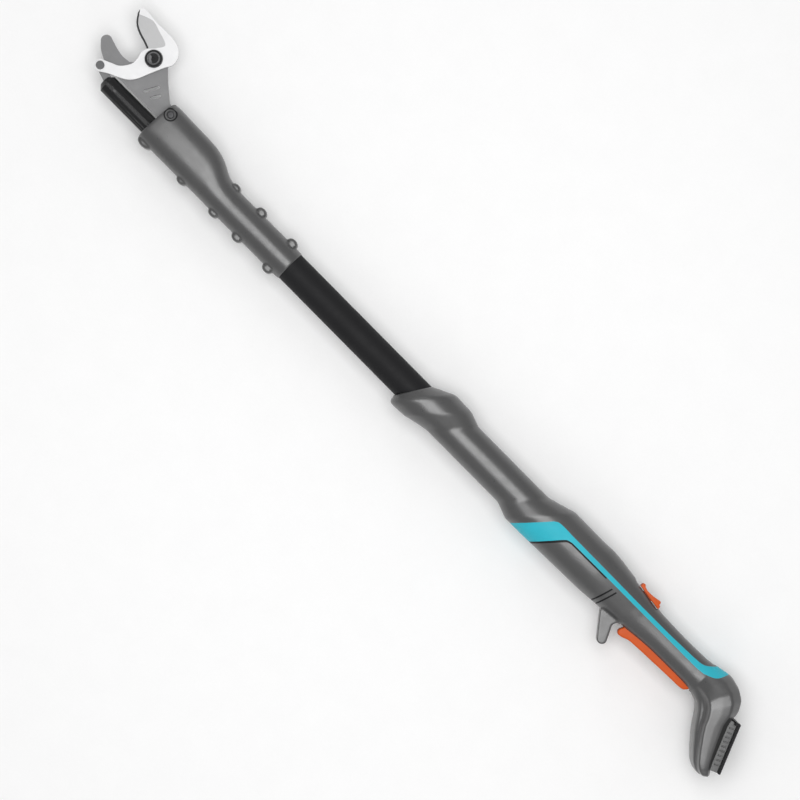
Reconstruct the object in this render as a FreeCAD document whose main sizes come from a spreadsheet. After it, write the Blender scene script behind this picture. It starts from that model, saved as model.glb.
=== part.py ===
"""Battery-powered telescoping pole pruner with a bypass hook-and-blade head.

Frame: the tool lies on its side on a level surface at Z = 0.
+X runs along the pole towards the cutting head, +Y towards the trigger side, +Z up.
Sizes are written from the pole's own axis, which lies at (axis_x, axis_y, axis_z).
"""
import FreeCAD, Part
import os
import re

Vector = FreeCAD.Vector
Rotation = FreeCAD.Rotation
X_AXIS = Vector(1, 0, 0)
Y_AXIS = Vector(0, 1, 0)
Z_AXIS = Vector(0, 0, 1)
TURN_TO = {
    "x": Rotation(Z_AXIS, X_AXIS),
    "y": Rotation(Z_AXIS, Y_AXIS),
    "z": Rotation(),
}
WHOLE = "400"        # half-length of a cutting box that takes in the whole tool
BARELY = "0.5"       # how far a cutting tool runs past the face that it opens

doc = FreeCAD.newDocument("pole_pruner")
sheet = doc.addObject("Spreadsheet::Sheet", "Sizes")

# alias, millimetres, meaning
SIZES = [
    ("axis_x", 215, "pole axis: origin of the sizes, from the middle of the tool's length"),
    ("axis_y", 6, "pole axis, from the middle of the tool's depth"),
    ("axis_z", 38, "pole axis above the surface that the tool lies on"),
    ("shell_wall", 2.8, "wall of the moulded housings"),
    ("inlay_depth", 1.2, "thickness of the coloured inlay in the handle"),
    ("fit_gap", 0.3, "clearance between moving pieces"),
    ("running_gap", 0.05, "radial clearance of shafts and slides"),
    # pole
    ("pole_r", 18.3, "outer radius of the telescoping pole"),
    ("pole_wall", 1.5, "wall of the pole"),
    ("pole_rear_x", -534, "rear end of the pole, pushed right in"),
    ("pole_front_x", 32, "front end of the pole, inside the head"),
    ("sleeve_bore_r", 20.6, "bore of the handle's front sleeve"),
    ("bush_length", 30, "length of each guide bush"),
    ("front_bush_x", -292, "rear face of the front guide bush"),
    ("middle_bush_x", -350, "rear face of the middle guide bush"),
    ("stop_ring_length", 14, "length of the stop ring on the pole's rear end"),
    # head
    ("head_rear_x", -6, "rear end of the head housing"),
    ("head_front_x", 222, "front end of the head housing"),
    ("rod_y", 1.7, "push rod axis, beside the pole axis"),
    ("rod_r", 11.5, "push rod radius"),
    ("rod_rear_x", 183, "rear end of the push rod, jaws open"),
    ("rod_front_x", 297, "front end of the push rod, jaws open"),
    ("rod_bore_r", 6, "bore of the push rod, around the spindle"),
    ("rod_bore_end_x", 267, "blind end of the push rod's bore"),
    ("rod_slot_x", 272, "root of the slot in the push rod's nose"),
    ("rod_chamfer", 5, "chamfer on the push rod's nose"),
    ("rod_pin_x", 284.2, "cross pin through the push rod's nose"),
    ("rod_pin_r", 2.5, "radius of that pin"),
    ("nut_length", 18, "length of the spindle nut"),
    ("guide_rear_x", 200, "rear face of the push rod's guide bush"),
    ("guide_length", 20, "length of that bush"),
    ("guide_wall", 1.8, "wall of that bush"),
    ("motor_r", 15, "motor radius"),
    ("motor_rear_x", 40, "rear face of the motor"),
    ("motor_length", 46, "length of the motor can"),
    ("gearbox_r", 16, "gearbox radius"),
    ("gearbox_length", 26, "length of the gearbox"),
    ("bearing_r", 11, "thrust bearing radius"),
    ("bearing_length", 6, "length of the thrust bearing"),
    ("spindle_r", 4, "radius of the drive spindle's thread"),
    ("spindle_front_x", 206, "front end of the drive spindle"),
    ("spindle_collar_r", 7, "radius of the spindle's shoulder"),
    ("spindle_collar_length", 4, "length of the spindle's shoulder"),
    # cutting jaws
    ("pivot_x", 274.5, "blade pivot"),
    ("pivot_y", -56.3, "blade pivot"),
    ("pivot_r", 6, "shank radius of the pivot bolt"),
    ("pivot_head_r", 8.6, "head radius of the pivot bolt"),
    ("pivot_head_height", 4, "height of the bolt's head"),
    ("pivot_socket_r", 3.6, "corner radius of its hexagon socket"),
    ("pivot_washer_r", 10.6, "washer under the bolt's head"),
    ("pivot_washer_height", 1, "thickness of that washer"),
    ("pivot_nut_r", 9.5, "corner radius of the nut behind the plate"),
    ("pivot_nut_height", 6, "height of that nut"),
    ("hook_thick", 4, "thickness of the hooked plate"),
    ("blade_thick", 4, "thickness of the blade"),
    ("arm_pin_x", 312.7, "pin at the end of the blade's arm"),
    ("arm_pin_y", -7.5, "pin at the end of the blade's arm"),
    ("arm_pin_r", 3, "radius of that pin"),
    ("arm_pin_head_r", 5, "head of that pin"),
    ("arm_pin_head_height", 1.6, "height of the pin's head"),
    ("link_width", 10, "width of the drive link"),
    ("link_thick", 4, "thickness of the drive link"),
    # screws
    ("screw_r", 1.5, "shank radius of the housing screws"),
    ("screw_head_r", 3, "head radius of the housing screws"),
    ("screw_head_height", 2.4, "head height of the housing screws"),
    ("screw_socket_r", 1.5, "corner radius of the housing screws' sockets"),
    ("boss_r", 4.8, "radius of the screw bosses along the housings' edges"),
    ("boss_height", 11, "height of each boss from the joint between the halves"),
    ("plate_screw_r", 2.5, "radius of the screws that hold the hooked plate"),
    # handle
    ("dock_half_width", 38, "half the width of the battery dock"),
    ("trigger_half_width", 7, "half the width of the trigger"),
    ("trigger_pivot_x", -666, "trigger pivot"),
    ("trigger_pivot_y", 9, "trigger pivot"),
    ("trigger_pin_r", 2, "radius of the trigger's pivot pin"),
    ("trigger_pin_length", 24, "length of that pin"),
    ("slider_front_x", -548, "front end of the lock slider, at rest"),
    ("slider_length", 30, "length of the lock slider"),
    ("slider_travel", 6, "travel of the lock slider"),
    ("slider_half_width", 8, "half the width of the lock slider"),
    ("slider_top_y", -32, "proud face of the lock slider"),
    ("slider_base_y", -28, "underside of the lock slider's cap"),
    ("slider_stem_y", -19, "inner end of the lock slider's stem"),
    ("slider_stem_length", 14, "length of the lock slider's stem"),
    ("slider_stem_half", 4, "half the width of that stem"),
    ("lever_pivot_x", -244, "cam pivot of the clamp lever"),
    ("lever_pivot_r", 5, "radius of the clamp lever's cam shaft"),
    ("lever_low_z", -36.5, "outer face of the clamp lever"),
    ("lever_thick", 4.5, "thickness of the clamp lever"),
    ("lever_reach", 50, "length of the clamp lever from its pivot"),
    ("lever_width", 16, "width of the clamp lever"),
    ("coil_r", 7, "outer radius of the coiled lead inside the pole"),
    ("coil_rear_x", -548, "rear end of the coiled lead"),
    ("coil_front_x", 36, "front end of the coiled lead"),
]

# Stations along the handle: middle (x, y), half depth, half width, tilt in degrees.
# The collar and the step behind the sleeve are cut at a slant.
HANDLE_STATIONS = [
    ("rim", -218.5, -1.6, 38.0, 29.5, -40),
    ("collar", -246.0, -1.3, 37.0, 29.0, -38),
    ("neck", -268.0, -1.0, 30.8, 23.6, -40),
    ("sleeve", -315.0, -1.2, 23.3, 23.2, 4),
    ("sleeve_end", -352.0, -1.3, 23.2, 23.2, -12),
    ("step", -385.5, -1.5, 30.0, 23.6, -39),
    ("swell", -411.0, -3.2, 40.5, 29.0, -40),
    ("body", -470.0, -3.8, 30.6, 28.6, 0),
    ("body_end", -508.0, -4.2, 30.4, 27.0, 0),
    ("shoulder", -540.0, -4.6, 26.6, 22.4, 0),
    ("grip_front", -570.0, -3.8, 21.4, 18.6, 0),
    ("grip_middle", -615.0, -3.2, 19.4, 17.6, 0),
    ("grip_rear", -655.0, -3.0, 19.6, 18.0, 0),
    ("heel", -684.0, -4.0, 24.0, 20.5, -10),
]
HOLLOW_STATIONS = ["heel", "grip_rear", "grip_middle", "grip_front", "shoulder", "body_end", "body", "swell"]
HEAD_STATIONS = [
    ("head_rim", -6.0, 0.3, 19.8, 19.8, 0),
    ("head_tail", 22.0, 0.4, 20.2, 20.2, 0),
    ("head_waist", 92.0, 0.4, 20.4, 20.4, 0),
    ("head_flare", 116.0, -1.6, 22.4, 21.6, 0),
    ("head_belly", 142.0, -7.4, 27.4, 22.8, 0),
    ("head_chest", 165.0, -8.4, 28.6, 23.0, 0),
    ("head_brow", 205.0, -8.8, 28.8, 22.6, 0),
    ("head_mouth", 222.0, -8.8, 27.8, 21.6, 0),
]
HEAD_HOLLOW = ["head_tail", "head_waist", "head_flare", "head_belly", "head_chest", "head_brow"]


def fill_sheet():
    """Write each driving size into its own row, with an alias."""
    rows = list(SIZES)
    for name, x, y, depth, width, tilt in HANDLE_STATIONS + HEAD_STATIONS:
        rows.append((name + "_x", x, "station: place along the pole"))
        rows.append((name + "_y", y, "station: middle"))
        rows.append((name + "_depth", depth, "station: half depth"))
        rows.append((name + "_width", width, "station: half width"))
        rows.append((name + "_tilt", tilt, "station: slant in degrees"))
    for row, (alias, value, meaning) in enumerate(rows, 1):
        sheet.set(f"A{row}", meaning)
        sheet.set(f"B{row}", str(value))
        sheet.setAlias(f"B{row}", alias)
    doc.recompute()


def cell(alias):
    """A driving size, as a number."""
    return float(sheet.get(alias))


def formula(text):
    """A formula of plain aliases, as the sheet's own names."""
    return re.sub(r"[a-z_]+", lambda word: "Sizes." + word.group(0), str(text))


def bind(thing, **sizes):
    """Bind properties of an object to formulas."""
    for name, text in sizes.items():
        thing.setExpression(name, formula(text))


def place(thing, x="0", y="0", z="0"):
    """Bind an object's place to formulas measured from the pole axis."""
    for letter, text in zip("xyz", (x, y, z)):
        thing.setExpression(f".Placement.Base.{letter}", formula(f"axis_{letter} + ({text})"))


def box(name, x, y, z):
    """A box between three pairs of formulas (low, high)."""
    solid = doc.addObject("Part::Box", name)
    bind(solid, Length=f"({x[1]}) - ({x[0]})", Width=f"({y[1]}) - ({y[0]})", Height=f"({z[1]}) - ({z[0]})")
    place(solid, x[0], y[0], z[0])
    return solid


def cylinder(name, along, x, y, z, radius, length):
    """A cylinder that starts at (x, y, z) and runs along an axis."""
    solid = doc.addObject("Part::Cylinder", name)
    bind(solid, Radius=radius, Height=length)
    solid.Placement.Rotation = TURN_TO[along]
    place(solid, x, y, z)
    return solid


def hexagon(name, x, y, z, corner_radius, length):
    """A hexagonal prism along Z."""
    solid = doc.addObject("Part::Prism", name)
    bind(solid, Circumradius=corner_radius, Height=length)
    place(solid, x, y, z)
    return solid


def cut(name, base, tool):
    result = doc.addObject("Part::Cut", name)
    result.Base = base
    result.Tool = tool
    return result


def carve(name, base, *tools):
    """Cut one tool after another out of a base."""
    for index, tool in enumerate(tools[:-1], 1):
        base = cut(f"{name}_carved_{index}", base, tool)
    return cut(name, base, tools[-1])


def fuse(name, *solids):
    result = doc.addObject("Part::MultiFuse", name)
    result.Shapes = list(solids)
    return result


def common(name, *solids):
    result = doc.addObject("Part::MultiCommon", name)
    result.Shapes = list(solids)
    return result


def group(name, *solids):
    """Separate solids that share one node."""
    result = doc.addObject("Part::Compound", name)
    result.Links = list(solids)
    return result


def ring(name, along, x, y, z, outer, inner, length):
    """A tube: an outer cylinder less a bore."""
    body = cylinder(name + "_outer", along, x, y, z, outer, length)
    bore = cylinder(name + "_bore", along, x, y, z, inner, length)
    return cut(name, body, bore)


def loft(name, stations, inset="0"):
    """A skin ruled through elliptical stations, all drawn in by an inset."""
    sections = []
    upright = Rotation(Vector(1, 1, 1), 120)
    for station in stations:
        ellipse = doc.addObject("Part::Ellipse", f"{name}_{station}")
        bind(ellipse, MajorRadius=f"{station}_depth - ({inset})", MinorRadius=f"{station}_width - ({inset})")
        ellipse.Placement.Rotation = Rotation(Z_AXIS, cell(station + "_tilt")).multiply(upright)
        place(ellipse, f"{station}_x", f"{station}_y")
        sections.append(ellipse)
    skin = doc.addObject("Part::Loft", name)
    skin.Sections = sections
    skin.Solid = True
    skin.Ruled = True
    return skin


def outline(start, *moves):
    """Edges of a closed outline. A move is ("line", end), ("arc", middle, end) or ("curve", points...)."""
    edges = []
    here = Vector(*start, 0)
    for kind, *points in list(moves) + [("line", start)]:
        ends = [Vector(*point, 0) for point in points]
        if here.distanceToPoint(ends[-1]) < 1e-6:
            continue
        if kind == "line":
            edges.append(Part.LineSegment(here, ends[0]))
        elif kind == "arc":
            edges.append(Part.Arc(here, ends[0], ends[1]))
        else:
            curve = Part.BSplineCurve()
            curve.interpolate([here] + ends)
            edges.append(curve)
        here = ends[-1]
    return edges


def sketched(name, edges, low, height):
    """A body padded from one sketch: its outline and its holes, from a low face."""
    body = doc.addObject("PartDesign::Body", name)
    plane = [item for item in body.Origin.OriginFeatures if item.Role == "XY_Plane"][0]
    sketch = body.newObject("Sketcher::SketchObject", name + "_outline")
    sketch.AttachmentSupport = (plane, [""])
    sketch.MapMode = "FlatFace"
    sketch.setExpression(".AttachmentOffset.Base.z", formula(low))
    sketch.addGeometry(edges, False)
    pad = body.newObject("PartDesign::Pad", name + "_pad")
    pad.Profile = sketch
    bind(pad, Length=height)
    place(body)
    return body


def circle(x, y, radius):
    """A round hole for a sketch."""
    return Part.Circle(Vector(x, y, 0), Z_AXIS, radius)


def slot(first, second, radius):
    """A slotted hole for a sketch, between the centres of its two ends."""
    a = Vector(*first, 0)
    b = Vector(*second, 0)
    forward = (b - a).normalize() * radius
    side = Vector(-forward.y, forward.x, 0)
    return [
        Part.LineSegment(a - side, b - side),
        Part.Arc(b - side, b + forward, b + side),
        Part.LineSegment(b + side, a + side),
        Part.Arc(a + side, a - forward, a - side),
    ]


def screw(name, x, y, low, length):
    """A socket-head screw along Z whose head is at its low end."""
    shank = cylinder(name + "_shank", "z", x, y, f"({low}) + screw_head_height", "screw_r", length)
    head = cylinder(name + "_head", "z", x, y, low, "screw_head_r", "screw_head_height")
    socket = hexagon(name + "_socket", x, y, f"({low}) - {BARELY}", "screw_socket_r", "screw_head_height")
    return cut(name, fuse(name + "_solid", shank, head), socket)


fill_sheet()
nodes = {}


# ---------------------------------------------------------------- pole
def build_pole():
    """The telescoping pole, its stop ring and the coiled lead inside it."""
    nodes["telescoping_pole"] = ring(
        "telescoping_pole", "x", "pole_rear_x", "0", "0", "pole_r", "pole_r - pole_wall",
        "pole_front_x - pole_rear_x")
    nodes["pole_stop_ring"] = ring(
        "pole_stop_ring", "x", "pole_rear_x - 1", "0", "0", "sleeve_bore_r - fit_gap",
        "pole_r", "stop_ring_length")
    nodes["coiled_lead"] = ring(
        "coiled_lead", "x", "coil_rear_x", "0", "0", "coil_r", "coil_r - 3", "coil_front_x - coil_rear_x")
    for which in ("front", "middle"):
        name = which + "_guide_bush"
        nodes[name] = ring(
            name, "x", f"{which}_bush_x", "0", "0", "sleeve_bore_r", "pole_r + running_gap", "bush_length")


# ---------------------------------------------------------------- head
# Screw bosses along both edges of the head housing: (x, y).
TRIGGER_SIDE_BOSSES = [(211, 18.6), (153, 19), (101, 19.4), (62, 20.4), (12, 20.5)]
TOP_SIDE_BOSSES = [(103, -18.4), (62, -20.2), (12, -20.2)]
# Screws through the hooked plate: x, y, half-length. The first shows on both faces of the head.
PLATE_SCREWS = [(213.6, -24.6, 18.5), (186, -24.6, 8), (160, -24.6, 8)]


def build_head():
    """The two halves of the head housing, with bosses, and their screws."""
    outer = loft("head_skin", [station[0] for station in HEAD_STATIONS])
    bosses = []
    for index, (x, y) in enumerate(TRIGGER_SIDE_BOSSES + TOP_SIDE_BOSSES, 1):
        bosses.append(cylinder(f"head_boss_{index}", "z", x, y, "-boss_height", "boss_r", "2 * boss_height"))
    hollow = loft("head_hollow", HEAD_HOLLOW, "shell_wall")
    hollow_front = box(
        "head_hollow_front", ("150", "guide_rear_x + guide_length"), ("-30", "12"), ("-11", "11"))
    pole_bore = cylinder(
        "head_pole_bore", "x", f"head_rear_x - {BARELY}", "0", "0", "pole_r", "pole_front_x - head_rear_x + 0.5")
    rod_bore = cylinder(
        "head_rod_bore", "x", "guide_rear_x", "rod_y", "0", "rod_r + guide_wall",
        f"head_front_x - guide_rear_x + {BARELY}")
    plate_slot = box(
        "head_plate_slot", ("148", f"head_front_x + {BARELY}"), ("-33.4", "-9"),
        ("-hook_thick / 2", "hook_thick / 2"))
    screw_holes = []
    screws = []
    for index, (x, y) in enumerate(TRIGGER_SIDE_BOSSES + TOP_SIDE_BOSSES, 1):
        low = "-boss_height - 1"
        screws.append(screw(f"head_screw_{index}", x, y, low, "boss_height + 8"))
        screw_holes.append(cylinder(
            f"head_screw_hole_{index}", "z", x, y, "-boss_height - 1", "screw_r", "boss_height + 8 + 3.4"))
        screw_holes.append(cylinder(
            f"head_screw_seat_{index}", "z", x, y, "-boss_height - 1.5", "screw_head_r", "screw_head_height + 0.5"))
    plate_screws = []
    for index, (x, y, half) in enumerate(PLATE_SCREWS, 1):
        shank = cylinder(f"plate_screw_shank_{index}", "z", x, y, -half, "plate_screw_r", 2 * half)
        head = cylinder(f"plate_screw_head_{index}", "z", x, y, half, "plate_screw_r + 2", "2.5")
        socket = hexagon(f"plate_screw_socket_{index}", x, y, half + 1, "plate_screw_r - 0.5", "3")
        plate_screws.append(cut(
            f"plate_screw_{index}", fuse(f"plate_screw_solid_{index}", shank, head), socket))
        screw_holes.append(cylinder(f"plate_screw_hole_{index}", "z", x, y, -half, "plate_screw_r", 2 * half))
        screw_holes.append(cylinder(f"plate_screw_seat_{index}", "z", x, y, half, "plate_screw_r + 2", "8"))
    solid = fuse("head_solid", outer, *bosses)
    hollow_all = fuse("head_hollow_all", hollow, hollow_front)
    pillars = fuse("head_pillars", *[
        cylinder(f"head_pillar_{index}", "z", x, y, "-21", "plate_screw_r + 3", "42")
        for index, (x, y, half) in enumerate(PLATE_SCREWS, 1)])
    hollow_clear = cut("head_hollow_clear", hollow_all, pillars)
    holes = fuse("head_screw_holes", *screw_holes)
    shell = carve("head_shell", solid, hollow_clear, pole_bore, rod_bore, plate_slot, holes)
    for side, span in (("left", ("0", WHOLE)), ("right", ("-" + WHOLE, "0"))):
        half = box(f"head_half_{side}", ("-" + WHOLE, WHOLE), ("-" + WHOLE, WHOLE), span)
        nodes[f"head_shell_{side}"] = common(f"head_shell_{side}", shell, half)
    nodes["head_screws"] = group("head_screws", *screws)
    nodes["plate_screws"] = group("plate_screws", *plate_screws)


def build_drive():
    """Motor, gearbox, spindle, nut, push rod and its guide, from the pole forwards."""
    gearbox_x = "motor_rear_x + motor_length"
    bearing_x = gearbox_x + " + gearbox_length"
    collar_x = bearing_x + " + bearing_length"
    nodes["motor"] = fuse(
        "motor",
        cylinder("motor_can", "x", "motor_rear_x", "rod_y", "0", "motor_r", "motor_length"),
        cylinder("motor_end_boss", "x", "motor_rear_x - 3", "rod_y", "0", "5", "3"))
    nodes["gearbox"] = cylinder("gearbox", "x", gearbox_x, "rod_y", "0", "gearbox_r", "gearbox_length")
    nodes["thrust_bearing"] = ring(
        "thrust_bearing", "x", bearing_x, "rod_y", "0", "bearing_r", "spindle_r + running_gap", "bearing_length")
    nodes["drive_spindle"] = fuse(
        "drive_spindle",
        cylinder("spindle_thread", "x", f"{bearing_x} + fit_gap", "rod_y", "0", "spindle_r",
                 f"spindle_front_x - ({bearing_x}) - fit_gap"),
        cylinder("spindle_collar", "x", f"{collar_x} + fit_gap", "rod_y", "0", "spindle_collar_r",
                 "spindle_collar_length"))
    nodes["spindle_nut"] = ring(
        "spindle_nut", "x", "rod_rear_x", "rod_y", "0", "rod_r - 2", "spindle_r + fit_gap", "nut_length")
    rod = cylinder("rod_bar", "x", "rod_rear_x", "rod_y", "0", "rod_r", "rod_front_x - rod_chamfer - rod_rear_x")
    nose = doc.addObject("Part::Cone", "rod_nose")
    bind(nose, Radius1="rod_r", Radius2="rod_r - rod_chamfer", Height="rod_chamfer")
    nose.Placement.Rotation = TURN_TO["x"]
    place(nose, "rod_front_x - rod_chamfer", "rod_y", "0")
    bore = cylinder("rod_bore", "x", "rod_rear_x", "rod_y", "0", "rod_bore_r", "rod_bore_end_x - rod_rear_x")
    nut_seat = cylinder("rod_nut_seat", "x", "rod_rear_x", "rod_y", "0", "rod_r - 2", "nut_length")
    nose_slot = box(
        "rod_nose_slot", ("rod_slot_x", f"rod_front_x + {BARELY}"), ("rod_y - rod_r - 1", "rod_y + rod_r + 1"),
        ("-link_thick / 2 - fit_gap", "link_thick / 2 + fit_gap"))
    pin_hole = cylinder("rod_pin_hole", "z", "rod_pin_x", "rod_y", "-rod_r - 1", "rod_pin_r", "2 * rod_r + 2")
    nodes["push_rod"] = cut(
        "push_rod", fuse("rod_solid", rod, nose), fuse("rod_openings", bore, nut_seat, nose_slot, pin_hole))
    stub_length = "rod_r - 0.4 - link_thick / 2 - 2 * fit_gap"
    nodes["push_rod_pin"] = group("push_rod_pin", *[
        cylinder(f"rod_pin_{side}", "z", "rod_pin_x", "rod_y", low, "rod_pin_r", stub_length)
        for side, low in (("left", "link_thick / 2 + 2 * fit_gap"), ("right", "-rod_r + 0.4"))])
    nodes["rod_guide_bush"] = ring(
        "rod_guide_bush", "x", "guide_rear_x", "rod_y", "0", "rod_r + guide_wall", "rod_r + running_gap",
        "guide_length")


# ---------------------------------------------------------------- jaws
def build_jaws():
    """The hooked plate, the bypass blade on its pivot bolt, and the link that drives it."""
    pivot = (cell("pivot_x"), cell("pivot_y"))
    pin = (cell("arm_pin_x"), cell("arm_pin_y"))
    plate_holes = [circle(x, y, cell("plate_screw_r")) for x, y, half in PLATE_SCREWS]
    hook = outline(
        (150, -11.8),
        ("line", (289, -11.8)),
        ("curve", (311.9, -14.4), (320.1, -17.6), (327.0, -22.0), (333.6, -28.5)),
        ("arc", (334.6, -35.0), (327.9, -39.3)),
        ("curve", (313.7, -34.9), (303.0, -33.1), (292.5, -34.0)),
        ("curve", (286.5, -40.0), (284.5, -49.0), (286.5, -58.0)),
        ("arc", (272.0, -70.5), (256.5, -60.5)),
        ("line", (243.4, -47.8)),
        ("line", (225.4, -33.0)),
        ("line", (150, -33.0)))
    nodes["hook_plate"] = sketched(
        "hook_plate",
        hook + plate_holes + [circle(*pivot, cell("pivot_r"))]
        + slot((256.1, -23.0), (248.4, -36.9), 1.4) + slot((244.9, -23.1), (240.4, -30.9), 1.4),
        "-hook_thick / 2", "hook_thick")
    blade = outline(
        (326.8, -85.7),
        ("arc", (325.6, -89.0), (322.1, -90.0)),
        ("curve", (300.9, -88.4), (279.8, -88.6), (266.0, -86.2), (256.6, -78.5), (254.0, -67.0), (258.9, -57.3)),
        ("curve", (265.9, -40.8), (272.8, -25.0), (281.7, -16.0), (299.1, -7.4), (307.6, -2.2)),
        ("arc", (319.6, -5.6), (315.0, -14.2)),
        ("curve", (305.5, -18.5), (296.5, -23.0), (289.2, -33.0), (287.9, -41.0), (290.6, -52.0)),
        ("line", (288.7, -58.6)),
        ("curve", (296.2, -61.5), (307.8, -65.0), (315.6, -68.9), (321.0, -73.9), (324.9, -79.2)),
    )
    nodes["cutting_blade"] = sketched(
        "cutting_blade",
        blade + [circle(*pivot, cell("pivot_r") + cell("running_gap")), circle(*pin, cell("arm_pin_r"))],
        "hook_thick / 2 + fit_gap", "blade_thick")
    blade_top = "hook_thick / 2 + fit_gap + blade_thick"
    washer_low = blade_top + " + fit_gap / 2"
    head_low = washer_low + " + pivot_washer_height"
    nut_low = "-hook_thick / 2 - pivot_nut_height"
    at = ("pivot_x", "pivot_y")
    bolt = fuse(
        "pivot_bolt_solid",
        cylinder("pivot_shank", "z", *at, nut_low, "pivot_r", f"({head_low}) - ({nut_low})"),
        cylinder("pivot_head", "z", *at, head_low, "pivot_head_r", "pivot_head_height"))
    socket = hexagon("pivot_socket", *at, f"{head_low} + 1.5", "pivot_socket_r", "pivot_head_height")
    nodes["pivot_bolt"] = cut("pivot_bolt", bolt, socket)
    nodes["pivot_washer"] = ring(
        "pivot_washer", "z", *at, washer_low, "pivot_washer_r", "pivot_r", "pivot_washer_height")
    nodes["pivot_nut"] = cut(
        "pivot_nut", hexagon("pivot_nut_body", *at, nut_low, "pivot_nut_r", "pivot_nut_height"),
        cylinder("pivot_nut_bore", "z", *at, nut_low, "pivot_r", "pivot_nut_height"))
    at = ("arm_pin_x", "arm_pin_y")
    nodes["blade_arm_pin"] = fuse(
        "blade_arm_pin",
        cylinder("arm_pin_shank", "z", *at, "-link_thick / 2 - 1", "arm_pin_r", f"{blade_top} + link_thick / 2 + 1"),
        cylinder("arm_pin_head", "z", *at, blade_top, "arm_pin_head_r", "arm_pin_head_height"))
    build_link(pin)


def build_link(pin):
    """The drive link, whose rear end lies in the slot of the push rod's nose."""
    rear = (cell("rod_pin_x"), cell("rod_y"))
    edges = slot(pin, rear, cell("link_width") / 2)
    holes = [
        circle(*pin, cell("arm_pin_r") + cell("running_gap")),
        circle(*rear, cell("rod_pin_r") + cell("running_gap")),
    ]
    nodes["drive_link"] = sketched("drive_link", edges + holes, "-link_thick / 2", "link_thick")


# ---------------------------------------------------------------- handle
FOOT_OUTLINE = outline(
    (-668, 15.5),
    ("line", (-679, 18.3)),
    ("curve", (-687, 23.5), (-699.5, 39.4), (-709.8, 52.0), (-720.4, 62.6), (-732.5, 72.2)),
    ("arc", (-741.5, 76.0), (-748.6, 71.8)),
    ("line", (-751.1, 64.2)),
    ("line", (-727.1, 6.2)),
    ("curve", (-728.4, -4.0), (-725.0, -12.5), (-718.6, -19.8), (-707.3, -25.8), (-695.9, -29.2), (-684.0, -28.4)),
    ("line", (-668, -22.5)))
STOP_OUTLINE = outline(
    (-533, 18),
    ("curve", (-536.5, 26.0), (-545.9, 38.0), (-557.0, 51.0)),
    ("arc", (-563.5, 51.6), (-566.0, 45.1)),
    ("curve", (-560.5, 33.2), (-557.0, 24.0), (-558, 15)),
    ("line", (-533, 15)))
INLAY_OUTLINE = outline(
    (-394, 32),
    ("line", (-404, 12)),
    ("line", (-429, -13)),
    ("line", (-452, -12.6)),
    ("line", (-560, -16.4)),
    ("line", (-652, -12.4)),
    ("curve", (-664, -15), (-674, -25), (-677, -34)),
    ("line", (-692, -34)),
    ("curve", (-688, -24), (-681, -14), (-669, -7.8)),
    ("line", (-648, -9.6)),
    ("line", (-560, -8.6)),
    ("line", (-514, -6.4)),
    ("line", (-446, -2.0)),
    ("line", (-423, 24)),
    ("line", (-421, 32)))
DOCK_TOP = (-727.1, 6.2)
DOCK_BOTTOM = (-751.1, 64.2)


def prism(name, edges, half_height):
    """An outline drawn out both ways from the joint between the halves."""
    return sketched(name, edges, f"-({half_height})", f"2 * ({half_height})")


def foot_plan(name, inset):
    """The foot seen along Y, drawn in by an inset: it widens from the grip to the battery dock."""
    wide = cell("dock_half_width") - inset
    narrow = cell("grip_rear_width") - inset
    points = [(-664, narrow), (-680, narrow + 1.5), (-704, wide - 7), (-716, wide - 2), (-728, wide), (-775, wide)]
    upper = [Vector(x, z, 0) for x, z in points]
    lower = [Vector(x, -z, 0) for x, z in reversed(points)]
    corners = upper + lower + upper[:1]
    plan = doc.addObject("Part::Feature", name)
    face = Part.Face(Part.makePolygon(corners))
    face.rotate(Vector(), X_AXIS, 90)
    plan.Shape = face.extrude(Vector(0, 200, 0))
    plan.Placement = FreeCAD.Placement(
        Vector(cell("axis_x"), cell("axis_y") - 60, cell("axis_z")), Rotation())
    return plan


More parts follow.
